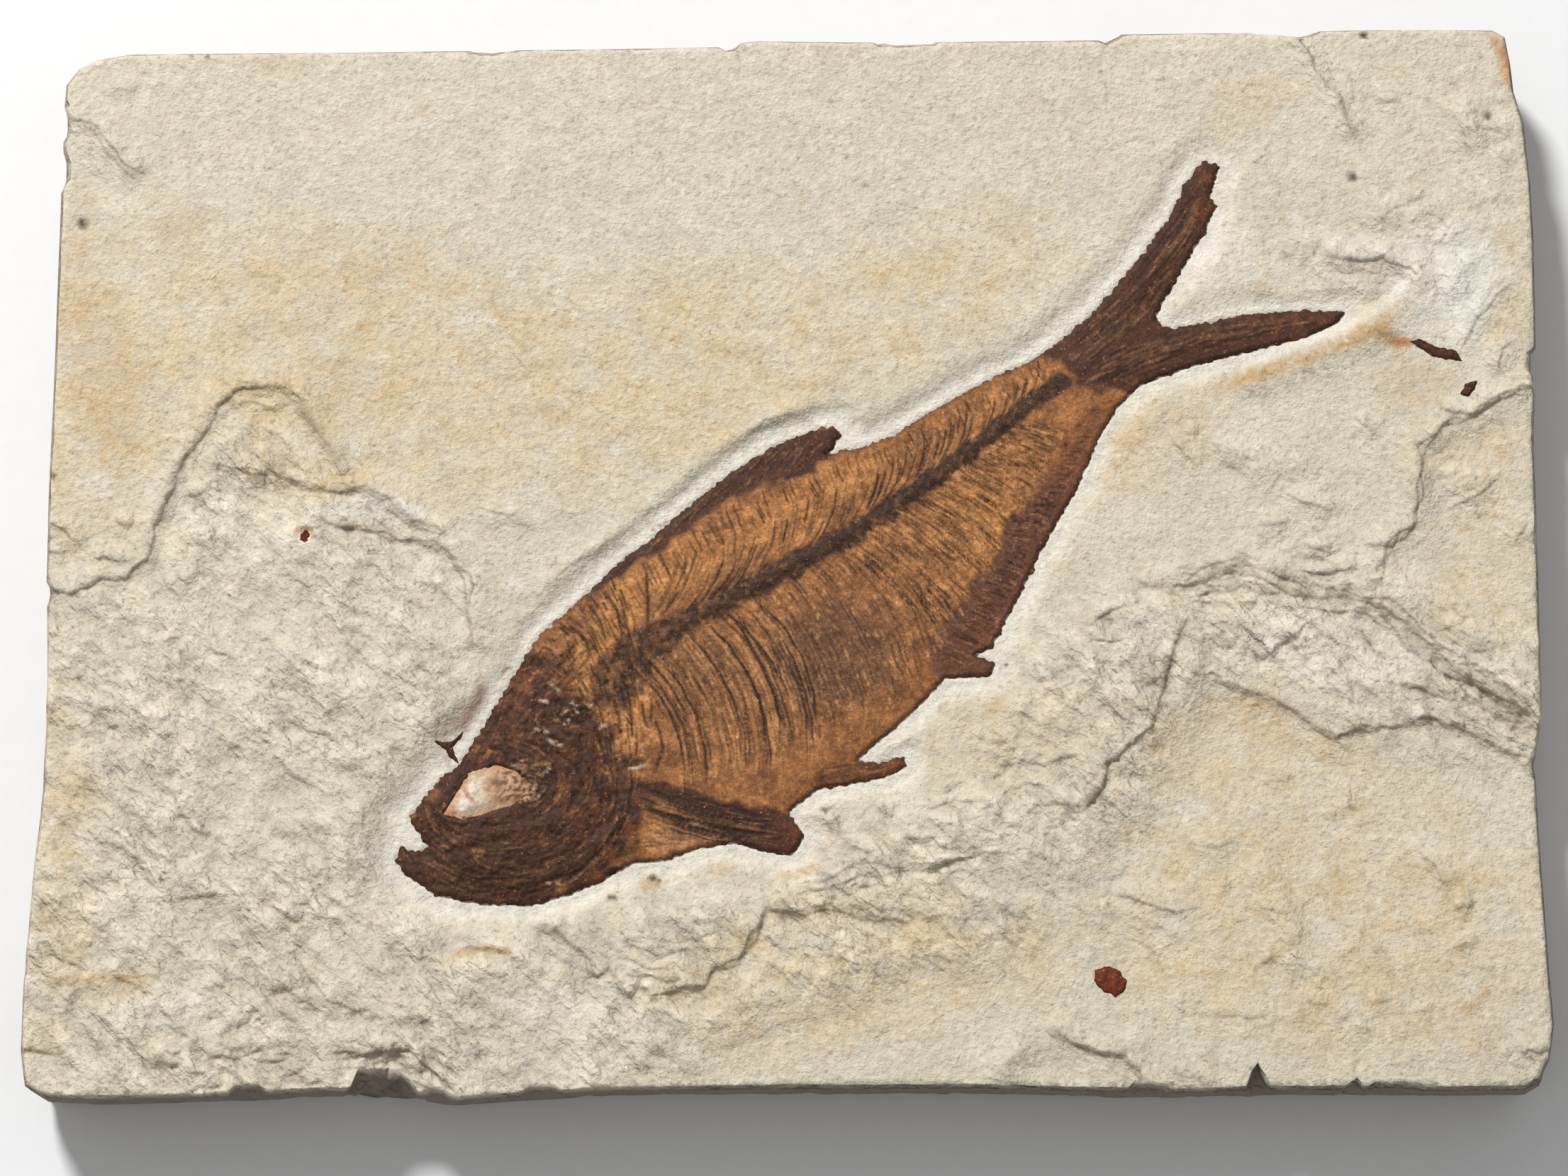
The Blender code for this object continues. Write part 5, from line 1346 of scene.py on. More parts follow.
# Raised bones of the column and the skull: their points, half width and height
RIDGES = (
    (COLUMN, 1.3, 0.14),
    (((-47, -40.6), (-42, -38.8), (-36, -37.2), (-29, -36.6)), 1.3, 0.25),
    (((-48.2, -36.4), (-45.6, -33.2), (-42.6, -29.2), (-38.6, -25.2)), 1.1, 0.22),
    (((-38, -24.6), (-33.6, -19.4), (-30, -14), (-25.4, -8.4)), 1.3, 0.2),
    (((-27.4, -16.4), (-25.6, -22), (-26, -28), (-28.4, -33.4)), 1.1, 0.25),
    (((-20.8, -31.4), (-22.4, -37), (-27, -41.8), (-34.6, -44.6)), 1.2, 0.2),
    (((-19, -4.6), (-18.4, -9.4), (-19.6, -12)), 0.8, 0.2),
    (((-22, -18.8), (-20.4, -24.6), (-20.8, -30.4)), 0.9, 0.2),
)

# Seams between the bones, dark hollows between those of the skull, and white chips of bone
SEAMS = (
    ((-29.4, -22.4), (-26.6, -23.4)), ((-28.6, -21.6), (-25.6, -21.4)), ((-31.6, -19.6), (-29.4, -20.8)),
    ((-26, -19.8), (-24.4, -21.6)), ((-33.6, -13.6), (-31.4, -17)), ((-30, -24.6), (-26.6, -25)),
    ((-33.5, -24), (-29.5, -26)), ((-27.8, -21.8), (-25, -23.5)), ((-27.2, -22.8), (-25.4, -22.4)),
    ((-27, -6.5), (-25, -9), (-24, -12.5)), ((-18.8, -1.6), (-18.6, -7), (-18.6, -10.5)),
    ((-19.5, -20), (-18.5, -24)), ((-17.6, -22), (-16.4, -26.6), (-17.4, -30)),
    ((-29.4, -9.6), (-27, -11.6), (-25.8, -14.4)), ((-24.6, -4.6), (-22.6, -8), (-21.6, -12.4)),
    ((-31, -26.4), (-28, -29), (-26.6, -32.6)), ((-19, -31.6), (-12, -33.4), (-4, -35.2)),
)
HOLES = (
    Spot(-27.6, -21, 3, 1.3, -10, 0.9), Spot(-24.6, -19.8, 1.8, 1, 30, 0.9),
    Spot(-31.6, -25.6, 3, 1.4, -20, 0.5), Spot(-34, -20.6, 1.8, 0.8, 30, 0.5),
    Spot(-29, -29.4, 4, 1.6, 20, 0.4), Spot(-20.4, -28.6, 1.8, 1, 0, 0.9),
    Spot(-18.6, -12.4, 2.4, 1.6, 30, 0.6), Spot(-36, -16.4, 2.2, 0.8, 60, 0.4),
    Spot(-44.8, -30.6, 2.4, 1, 45, 0.4), Spot(-43, -36.4, 1.8, 0.6, 0, 0.8),
    Spot(-32, -36, 6, 1.2, 10, 0.4),
)
CHIPS = (
    ((-28.6, -20.2), (-27.6, -20.8)), ((-26.4, -21), (-25.2, -20.4)), ((-29.6, -23.4), (-28.8, -22.8)),
    ((-31.4, -17.8), (-30.2, -19)), ((-24.8, -24.2), (-23.8, -23.4)), ((-33, -20), (-31.6, -20.6)),
    ((-29.4, -21), (-27.4, -22)), ((-30, -22), (-28.6, -21.2)), ((-33.6, -23.6), (-31.4, -24.8)),
    ((-32, -44.4), (-29.4, -45)), ((-32.2, -25.2), (-29.6, -26.6)), ((-21, -29.4), (-18.6, -28.6)),
)

# Patches of colour on the fish and on the calcite in its eye
CRUSHED_SKULL = (Spot(-24, -20, 8, 14, 0),)
DULL_SPOTS = (Spot(6, -14, 13, 10, 25), Spot(-25, -31, 9, 3.6, 105), Spot(-9, -17, 9, 6, -50, 0.35))
GOLD_SPOTS = (
    Spot(-22.6, -8, 8, 3.6, 70, 1.1), Spot(-25.4, -15.6, 5, 3, 100, 1.2),
    Spot(-20.2, -24, 6.5, 2.8, 80, 1.3), Spot(-11, -20, 10, 5, -50, 0.2), Spot(24, 6, 10, 5, 40, 0.7),
    Spot(28, 2, 9, 2.6, 65, 0.9), Spot(12, 1.6, 7, 2.2, 28, 0.8), Spot(-15, -38.4, 7.5, 3, 8, 1.5),
    Spot(2, 7, 20, 4, 30, 0.8), Spot(30, 20, 9, 3, 38, 0.6), Spot(-14, -1.5, 7, 4, 35, 0.8),
)
RED_SPOTS = (
    Spot(-33, -16, 10, 4, 55, 0.7), Spot(38, 14, 7, 3, 65, 0.7), Spot(57, 50, 4, 2, 80, 0.6),
    Spot(1, -37, 3, 3, 0, 0.6), Spot(66, 32, 9, 2, 8, 0.4), Spot(-22.4, -40, 7, 2.4, 60, 0.9),
    Spot(-27, -33, 5, 9, 10, 0.5), Spot(-38, -26, 5, 3, 30, 0.6),
)
FLESH_SPOTS = (Spot(-14, -38.2, 7, 2.6, 10), Spot(-20, -26, 3, 2.4, 70, 0.4))
PINK_SPOTS = (
    Spot(-42, -32.8, 1.9, 0.6, -52), Spot(-38.6, -31, 0.6, 1.8, 10, 0.6),
    Spot(-44.8, -35.2, 1.6, 1, 30, 0.8), Spot(-42.6, -31.6, 0.8, 0.4, -60, 0.8),
)
TAN_SPOTS = (
    Spot(-35.8, -30.8, 6.4, 4.8, 30, 1.5), Spot(-45, -35.2, 2.8, 1.8, 30, 0.8),
    Spot(-40.5, -28.6, 4, 1, 10, 0.8), Spot(-38.4, -35, 4, 0.9, 10, 0.6),
)
ARC_SPOTS = (Spot(-35.4, -30.8, 5.4, 4.2, 30), Spot(-42.6, -35.9, 2, 0.7, 10))


def curve(root, tip, bow, first=0.0, last=1.0):
    """A piece of a bent line between two points. `bow` is how far the line bends to its left."""
    root, tip = np.array(root, float), np.array(tip, float)
    sideways = np.array([root[1] - tip[1], tip[0] - root[0]]) * bow
    steps = np.linspace(first, last, 5)[:, None]
    return root + (tip - root) * steps + sideways * 4.0 * steps * (1.0 - steps)


def fan_strokes(fan, seed):
    """The streaks of one fan."""
    chance = np.random.default_rng(seed)
    made = []
    for index in range(fan.count):
        share = (index + chance.random()) / fan.count
        length = chance.uniform(*fan.length)
        first = chance.uniform(-0.02, 1.0 - length)
        bow = fan.bow + 0.02 * chance.normal()
        line = curve(along(fan.roots, share), along(fan.tips, share), bow, first, first + length)
        strength = chance.uniform(FAINTEST, 1.0)
        dark, pale = fan.dark * strength, fan.pale * strength
        made.append(Stroke(line, fan.width, fan.height * strength, dark, pale))
    return made


def swirl_strokes(swirl, seed):
    """The streaks of one swirl, some of them dark and the others pale."""
    chance = np.random.default_rng(seed)
    made = []
    for _ in range(swirl.count):
        start = chance.uniform(*swirl.turns)
        turns = np.radians(np.linspace(start, start + chance.uniform(8.0, 36.0), 5))
        out = chance.uniform(*swirl.out) + 0.02 * np.linspace(-1.0, 1.0, 5) * chance.normal()
        ring = np.column_stack([np.cos(turns), np.sin(turns)]) * np.array(swirl.radii)
        line = np.array(swirl.centre) + ring * out[:, None]
        strength = chance.uniform(FAINTEST, 1.0)
        if chance.random() < DARK_SHARE:
            made.append(Stroke(line, 0.26, -0.09 * strength, dark=1.2 * strength))
        else:
            made.append(Stroke(line, 0.28, 0.1 * strength, pale=swirl.pale * strength))
    return made


def all_strokes():
    """Every bone, seam and streak of the fish."""
    made = [Stroke(np.array(line), width, height) for line, width, height in RIDGES]
    made += [Stroke(np.array(line), 0.42, -0.14, dark=0.95) for line in SEAMS]
    for number, fan in enumerate(FANS):
        made += fan_strokes(fan, 300 + number)
    for number, swirl in enumerate(SWIRLS):
        made += swirl_strokes(swirl, 9 + number)
    return made


def flake_strokes():
    """White flakes of bone on the skull, and the crumbled bone behind the eye."""
    made = [Stroke(np.array(line), 0.36, 0.1, pale=1.2) for line in CHIPS]
    return made + fan_strokes(Fan(*TEMPLE, 0.05, 90, (0.05, 0.2), 0.24, 0.1, 0.0, 1.1), 400)


def draw(places, strokes):
    """What the strokes do at each place: how far they raise it, and how dark and how pale they make it."""
    order = np.argsort(places[:, 0])
    across = places[order, 0]
    raised, sunk, dark, pale = (np.zeros(len(places)) for _ in range(4))
    for stroke in strokes:
        low, high = stroke.points.min(axis=0) - stroke.width, stroke.points.max(axis=0) + stroke.width
        strip = order[np.searchsorted(across, low[0]):np.searchsorted(across, high[0])]
        close = strip[(places[strip, 1] > low[1]) & (places[strip, 1] < high[1])]
        distance, _, share = nearest(places[close], stroke.points)
        inside = distance < stroke.width
        close, distance, share = close[inside], distance[inside], share[inside]
        mark = smooth(np.minimum(share, 1.0 - share) / 0.2 + 0.1) * smooth(1.0 - distance / stroke.width)
        raised[close] = np.maximum(raised[close], stroke.height * mark)
        sunk[close] = np.minimum(sunk[close], stroke.height * mark)
        dark[close] = np.maximum(dark[close], stroke.dark * mark)
        pale[close] = np.maximum(pale[close], stroke.pale * mark)
    return raised + sunk, dark, pale


def fish_surface(places):
    """Height of the fish's top and its tones."""
    inside = depth_inside(places, FISH)
    drift = 0.5 * drift_of(places, 2.6, 101)
    drifted = places + drift
    broken = rough(places, 2.4, 4, 103)
    from_skull = np.linalg.norm(places - np.array(SKULL_CENTRE), axis=1) / SKULL_RADIUS
    skull = SKULL_BULGE * smooth(1.6 - from_skull)
    height = FISH_PLANE + 0.02 + FISH_RIM * smooth((inside + 0.3) / 0.9)
    height = height + (TRUNK_BULGE + skull) * smooth(inside / FLANK)

    def zone(outline, soft, torn):
        return smooth(0.5 + (depth_inside(drifted, anticlockwise(outline)) + torn * broken) / soft)

    head, dorsal = zone(HEAD, 2.6, 1.8), zone(DORSAL_FIN, 1.2, 0.7)
    tail, anal = zone(TAIL_FIN, 1.6, 0.9), zone(ANAL_FIN, 1.0, 0.5)
    pectoral, pelvic = zone(PECTORAL_FIN, 0.9, 0.4), zone(PELVIC_FIN, 0.9, 0.3)
    fins = np.maximum.reduce([dorsal, tail, anal, pectoral, pelvic])

    relief, line, pale = draw(places + 0.3 * drift, all_strokes())
    chips, _, white = draw(places + 0.8 * drift, flake_strokes())
    white = white * smooth(0.7 + 1.6 * noise(places, 0.8, 113))
    grain = noise(places, 0.6, 105) + 0.6 * noise(places, 1.1, 106)
    scales = np.abs(noise(turned(places, 30.0), (1.5, 1.1), 107))
    bony = np.maximum(head, patches(drifted, CRUSHED_SKULL))
    height = height + relief + chips + (0.03 + 0.05 * bony) * grain
    height = height - 0.05 * scales * (1.0 - fins) - 0.1 * fins
    height = height + 0.15 * bony * rough(places, 2.2, 3, 108)
    height = height - EYE_BED * smooth(depth_inside(places, anticlockwise(EYE_OUTLINE)) / 0.7 + 0.3)
    height = np.minimum(height, TALLEST)

    away, _, share = nearest(drifted, COLUMN)
    half = 1.2 - 0.5 * share + 0.35 * rough(places, 2.4, 3, 110) + 1.3 * smooth(1.0 - 5.0 * share)
    column = smooth(1.0 - (away - half) / (1.8 - 1.0 * share)) * (0.8 + 0.3 * smooth(share * 2.5))
    column = column * (0.95 + 0.5 * rough(places, 1.0, 3, 111))
    mottle = rough(places, 2.6, 5, 112)
    bared = 1.0 - np.maximum(0.35 * fins, 0.45 * head)
    tones = {
        "grey": np.clip(patches(drifted, DULL_SPOTS), 0.0, 1.0),
        "gold": 1.1 * patches(drifted + 2.0 * drift, GOLD_SPOTS),
        "head": head,
        "red": patches(drifted, RED_SPOTS) * smooth(0.45 + 1.4 * mottle),
        "flesh": patches(drifted, FLESH_SPOTS) * (1.0 - pectoral),
        "fin": np.maximum.reduce([dorsal, tail, pectoral]),
        "anal": anal * (1.0 - 0.75 * smooth((drifted[:, 1] - 8.0) / 9.0)),
        "pelvic": pelvic,
        "column": np.maximum(column * (1.0 - 0.6 * head) * (1.0 - tail), patches(drifted + drift, HOLES)),
        "line": line * (1.0 - 0.2 * np.maximum(fins, head)),
        "pale": np.clip(pale, 0.0, 1.6) * bared * (1.0 - 0.8 * column),
        "white": white,
        "mottle": 0.5 + 0.5 * mottle,
        "grain": 0.5 + 0.4 * grain,
        "rim": 1.0 - smooth(inside / 0.8),
    }
    return height, tones


def ragged_outline():
    """The fish's outline with its torn and frayed edges."""
    outline = resampled(FISH, FISH_EDGE_STEP, closed=True)
    reach = np.full(len(outline), EDGE_WANDER)
    teeth = rough(outline, 0.8, 3, 120)
    for fray in FRAYS:
        distance, _, _ = nearest(outline, fray.points)
        strength = smooth(1.0 - (distance - 0.4) / 1.2)
        reach = np.maximum(reach, fray.reach * strength)
    return grown(outline, reach * teeth)


def within(places, coarse, fine, margin):
    """The places at least this margin inside the fine outline, which keeps near the coarse one."""
    depth = depth_inside(places, coarse)
    band = np.abs(depth) < COARSE_BAND
    kept = depth >= COARSE_BAND
    kept[band] = depth_inside(places[band], fine) > margin
    return places[kept]


def shell(name, outline, loose, surface, base_height, made_of):
    """A closed plate: a modelled top inside the outline, upright walls and a flat base."""
    plan, triangles, rim = triangulated(outline, loose)
    heights, tones = surface(plan)
    base, facets, base_rim = triangulated(outline, np.empty((0, 2)))
    count = len(plan)
    triangles += walls(rim, [count + index for index in base_rim])
    triangles += [tuple(count + index for index in facet)[::-1] for facet in facets]
    corners = np.vstack([to_scene(plan, heights), to_scene(base, np.full(len(base), base_height))])
    tones = {tone: np.concatenate([values, np.zeros(len(base))]) for tone, values in tones.items()}
    return add_piece(name, corners, triangles, tones, made_of)


def build_fish(made_of):
    """The whole fish as one thin plate in its bed."""
    outline = ragged_outline()
    loose = even_grid(FISH.min(axis=0) - 1.0, FISH.max(axis=0) + 1.0, FISH_STEP, 125)
    loose = within(loose, FISH, outline, 0.1)
    return shell("fish_film", outline, loose, fish_surface, FISH_PLANE - FISH_DEPTH, made_of)


# ---------------------------------------------------------------- eye and small fossils

# The small fossils, each with its solid's node, its piece's name, its outline, how far it stands up from
# the stone, and its slot
Speck = namedtuple("Speck", "node name outline rise slot")
SPECKS = (
    Speck(
        "bone_chip", "chip_of_bone",
        (
            (-46.8, -25.3), (-45.4, -25.6), (-44.2, -25.3), (-42.9, -24), (-43.4, -25.2), (-44.3, -26.2),
            (-44, -27.2), (-43.5, -28.4), (-44.6, -27.6), (-45.2, -26.7),
        ),
        rise=0.2, slot="dark_bone",
    ),
    Speck(
        "bone_splinter", "splinter_of_bone",
        ((83.8, 29.4), (85.2, 29.7), (87.4, 28.6), (90, 28.1), (90.9, 26.5), (87, 27.2)),
        rise=0.2, slot="dark_bone",
    ),
    Speck(
        "bone_fleck", "fleck_of_bone",
        ((90.4, 22), (91.1, 23.4), (92.7, 23.9), (92.4, 22.7), (91.4, 21.7)),
        rise=0.2, slot="dark_bone",
    ),
    Speck(
        "brown_scale", "scale_brown",
        (
            (39.9, -57.3), (40.1, -56), (41.4, -55.4), (43, -55.8), (44.3, -57.4), (43.9, -58.9),
            (42.7, -59.4), (41.2, -58.8),
        ),
        rise=0.22, slot="scale",
    ),
    Speck(
        "small_scale", "scale_small",
        ((-65, 1.9), (-65, 2.8), (-64.6, 3.5), (-64.1, 3.5), (-63.9, 2.8), (-64, 2), (-64.4, 1.5)),
        rise=0.15, slot="scale",
    ),
)


def eye_surface(places):
    """Height of the calcite in the eye socket and its tones."""
    inside = depth_inside(places, anticlockwise(EYE_OUTLINE))
    drifted = places + 0.4 * drift_of(places, 1.6, 130)
    height = FISH_PLANE + FISH_RIM + 0.3 + 0.35 * smooth(inside / 1.8)
    height = height + 0.12 * rough(places, 1.8, 3, 132) + 0.05 * noise(places, 0.5, 135)
    streaks = rough(turned(drifted, 40.0), (1.0, 0.6), 2, 133)
    tones = {
        "pink": patches(drifted, PINK_SPOTS),
        "tan": patches(drifted, TAN_SPOTS),
        "arcs": patches(drifted, ARC_SPOTS) * smooth(0.4 + 1.8 * streaks),
        "mottle": 0.5 + 0.5 * rough(places, 1.4, 3, 137),
        "rim": 1.0 - smooth((inside - 0.1 + 0.6 * rough(places, 1.2, 3, 136)) / 1.5),
    }
    return np.minimum(height, TALLEST), tones


def build_eye(made_of):
    """The pale mineral patch in the eye socket."""
    outline = resampled(anticlockwise(EYE_OUTLINE), EYE_STEP, closed=True)
    outline = grown(outline, 0.3 + 0.4 * rough(outline, 1.6, 3, 138))
    loose = even_grid(outline.min(axis=0), outline.max(axis=0), EYE_STEP, 139)
    loose = loose[depth_inside(loose, outline) > 0.1]
    return shell("eye_calcite", outline, loose, eye_surface, FISH_PLANE, made_of)


def build_speck(speck, made_of, number):
    """One small fossil, whose top follows the stone round it."""
    coarse = anticlockwise(speck.outline)
    outline = resampled(coarse, SPECK_STEP, closed=True)
    outline = grown(outline, 0.16 * rough(outline, 0.9, 2, 140 + number))
    loose = even_grid(outline.min(axis=0), outline.max(axis=0), SPECK_STEP, 150)
    loose = loose[depth_inside(loose, outline) > 0.08]
    ground = stone_surface(coarse)[0]

    def speck_surface(places):
        inside = depth_inside(places, outline)
        height = stone_surface(places)[0] + 0.02 + speck.rise * smooth((inside + 0.15) / 0.7)
        height = height + 0.06 * rough(places, 0.8, 2, 160 + number)
        return height, {
            "mottle": 0.5 + 0.5 * rough(places, 1.2, 3, 170 + number),
            "rim": 1.0 - smooth(inside / 0.4),
        }

    return shell(speck.name, outline, loose, speck_surface, ground.min() - 0.7, made_of)


# ---------------------------------------------------------------- materials

# A colour laid on where its tone says so: its strongest share, and how far a speckle tears its edge
Layer = namedtuple("Layer", "tone colour share torn", defaults=(1.0, 0.5))


class Weave:
    """Builds one material's nodes. Every texture is measured in millimetres on the object."""

    def __init__(self, name):
        self.material = bpy.data.materials.new(name)
        self.material.use_nodes = True
        self.tree = self.material.node_tree
        self.shader = self.tree.nodes["Principled BSDF"]
        place = self.tree.nodes.new("ShaderNodeTexCoord")
        scaled = self.tree.nodes.new("ShaderNodeMapping")
        scaled.inputs["Scale"].default_value = (1.0 / MM,) * 3
        self.tree.links.new(place.outputs["Object"], scaled.inputs["Vector"])
        self.place = scaled.outputs["Vector"]

    def node(self, kind, settings=None, **inputs):
        """A new node with these settings and inputs. An underscore stands for a space in their names."""
        made = self.tree.nodes.new(kind)
        for setting, value in (settings or {}).items():
            setattr(made, setting, value)
        for socket, value in inputs.items():
            self.plug(made.inputs[socket.replace("_", " ")], value)
        return made

    def plug(self, socket, value):
        """Links the socket to another one, or sets its value."""
        if isinstance(value, bpy.types.NodeSocket):
            self.tree.links.new(value, socket)
        else:
            socket.default_value = value

    def math(self, operation, first, second=0.0, third=0.0):
        """The result of one sum."""
        made = self.tree.nodes.new("ShaderNodeMath")
        made.operation = operation
        for socket, value in zip(made.inputs, (first, second, third)):
            self.plug(socket, value)
        return made.outputs["Value"]

    def noise(self, size, detail=3.0, roughness=0.6, distortion=0.0, place=None):
        """Noise from 0 to 1 with lumps of about this size in millimetres."""
        made = self.node(
            "ShaderNodeTexNoise", Vector=place or self.place, Scale=1.0 / size, Detail=detail,
            Roughness=roughness, Distortion=distortion,
        )
        return made.outputs["Fac"]

    def drawn_out(self, degrees, longer):
        """Places for textures that are this many times longer in this direction of the plan."""
        turn = self.node("ShaderNodeVectorRotate", {"rotation_type": "Z_AXIS"}, Vector=self.place)
        turn.inputs["Angle"].default_value = math.radians(-degrees)
        squeezed = self.node("ShaderNodeMapping", Vector=turn.outputs["Vector"])
        squeezed.inputs["Scale"].default_value = (1.0 / longer, 1.0, 1.0)
        return squeezed.outputs["Vector"]

    def cells(self, size):
        """The distance from the middle of the nearest of many cells of about this size."""
        made = self.node("ShaderNodeTexVoronoi", Vector=self.place, Scale=1.0 / size)
        return made.outputs["Distance"]

    def spread(self, value, low, high, to_low=0.0, to_high=1.0):
        """The value, with low to high stretched to a new range and kept inside it."""
        made = self.node("ShaderNodeMapRange", Value=value)
        sockets = ("From Min", "From Max", "To Min", "To Max")
        for socket, number in zip(sockets, (low, high, to_low, to_high)):
            self.plug(made.inputs[socket], number)
        return made.outputs["Result"]

    def tone(self, name):
        """A tone of the mesh's corners."""
        return self.node("ShaderNodeAttribute", {"attribute_name": name}).outputs["Fac"]

    def mix(self, share, first, second, blend="MIX"):
        """The first colour with this share of the second laid over it."""
        made = self.tree.nodes.new("ShaderNodeMix")
        made.data_type = "RGBA"
        made.blend_type = blend
        colours = [socket for socket in made.inputs if socket.type == "RGBA"]
        self.plug(made.inputs["Factor"], share)
        self.plug(colours[0], first)
        self.plug(colours[1], second)
        return [socket for socket in made.outputs if socket.type == "RGBA"][0]

    def base(self, value, first, second):
        """A soft change between two sRGB colours as a noise goes from low to high."""
        return self.mix(self.spread(value, 0.35, 0.65), linear(first), linear(second))

    def shaded(self, colour, *shades):
        """The colour made darker or lighter by each of the shades."""
        shade = shades[0]
        for other in shades[1:]:
            shade = self.math("MULTIPLY", shade, other)
        tint = self.node("ShaderNodeCombineColor", Red=shade, Green=shade, Blue=shade)
        return self.mix(1.0, colour, tint.outputs["Color"], "MULTIPLY")

    def layered(self, colour, layers, speckle):
        """Colours laid over this one where their tones say so, with edges broken up by a speckle."""
        centred = self.math("SUBTRACT", speckle, 0.5)
        for layer in layers:
            tone = self.tone(layer.tone)
            torn = self.math("MULTIPLY_ADD", centred, layer.torn, tone)
            held = self.math("MULTIPLY", torn, self.spread(tone, 0.0, 0.12))
            share = self.node("ShaderNodeClamp", Value=self.math("MULTIPLY", held, layer.share))
            colour = self.mix(share.outputs["Result"], colour, linear(layer.colour))
        return colour

    def finish(self, colour, roughness, bumps, specular=0.5):
        """Sets the shader. Each bump is a height from 0 to 1 and its depth in millimetres."""
        self.plug(self.shader.inputs["Base Color"], colour)
        self.plug(self.shader.inputs["Roughness"], roughness)
        self.plug(self.shader.inputs["Specular IOR Level"], specular)
        normal = None
        for height, depth in bumps:
            bump = self.node("ShaderNodeBump", Height=height, Distance=depth * MM, Strength=1.0)
            if normal is not None:
                self.tree.links.new(normal, bump.inputs["Normal"])
            normal = bump.outputs["Normal"]
        self.tree.links.new(normal, self.shader.inputs["Normal"])
        return self.material


def linear(colour):
    """An sRGB colour given from 0 to 255 as the shader's own values, none of it near black."""
    return (*[((part / 255.0 + 0.055) / 1.055) ** 2.4 for part in colour], 1.0)


def limestone():
    """Pale bedded limestone: stains, specks, painted shade in hollows and crevices, and broken relief."""
    weave = Weave("limestone")
    aslant = weave.drawn_out(DIMPLE_TURN, 2.2)
    coarse, middle = weave.noise(9.0, 4.0), weave.noise(2.0, 6.0, 0.68)
    fine, finest = weave.noise(0.8, 4.0, 0.68), weave.noise(0.3, 2.0)
    lumps = weave.noise(2.8, 2.0, 0.5, 0.0, aslant)
    knobs = weave.noise(1.3, 2.0, 0.55, 0.0, aslant)
    rugged = weave.tone("rugged")
    colour = weave.layered(weave.base(coarse, (222, 210, 187), (230, 219, 198)), (
        Layer("grey", (225, 214, 196), 0.9),
        Layer("ochre", (226, 206, 168), 0.95),
        Layer("amber", (198, 158, 100), 0.8, 0.9),
        Layer("chalk", (240, 235, 223), 0.9),
    ), middle)
    patchy = weave.spread(weave.noise(2.2, 5.0, 0.74, 0.4), 0.5, 0.7)
    stained = weave.spread(weave.tone("ochre"), 0.0, 1.0, 0.2, 0.68)
    colour = weave.mix(weave.math("MULTIPLY", patchy, stained), colour, linear((200, 160, 104)))
    bleached = weave.spread(weave.noise(1.8, 5.0, 0.74, 0.4), 0.54, 0.68)
    colour = weave.mix(weave.math("MULTIPLY", bleached, 0.5), colour, linear((242, 236, 223)))
    # Painted shade in the pits of the fine bump, stronger on rough stone
    pits = weave.spread(fine, 0.32, 0.4, 1.0, 0.0)
    pit_shade = weave.math("MULTIPLY", pits, weave.spread(rugged, 0.0, 1.0, 0.4, 0.6))
    colour = weave.mix(pit_shade, colour, linear((150, 132, 108)))
    colour = weave.layered(colour, (
        Layer("halo", (240, 233, 219), 0.85, 0.8),
        # painted shade on the block's broken side, darkest on its near side
        Layer("side", (122, 114, 103), 0.92),
        Layer("orange", (214, 146, 76), 0.85, 0.8),
        Layer("rust", (140, 84, 60), 0.8, 0.7),
        # painted shade, with some dirt, in the crevices
        Layer("crevice_shade_and_dirt", (134, 114, 92), 0.6, 0.5),
        Layer("dirt", (66, 54, 46), 0.95, 0.4),
    ), fine)
    # Painted shade: darker where the relief is low and in the low spots of the fine and middle bumps
    colour = weave.shaded(
        colour, weave.spread(weave.tone("hollow"), 0.1, 0.9, 1.05, 0.88),
        weave.spread(fine, 0.3, 0.7, 0.9, 1.08), weave.spread(middle, 0.34, 0.66, 0.9, 1.06),
    )
    rugged = weave.spread(rugged, 0.0, 1.0, 0.1, 1.0)
    bumps = (
        (weave.math("MULTIPLY", lumps, rugged), 1.7), (weave.math("MULTIPLY", knobs, rugged), 0.9),
        (middle, 0.42), (fine, 0.26), (finest, 0.06),
    )
    return weave.finish(colour, weave.spread(middle, 0.2, 0.8, 0.82, 0.98), bumps, 0.2)


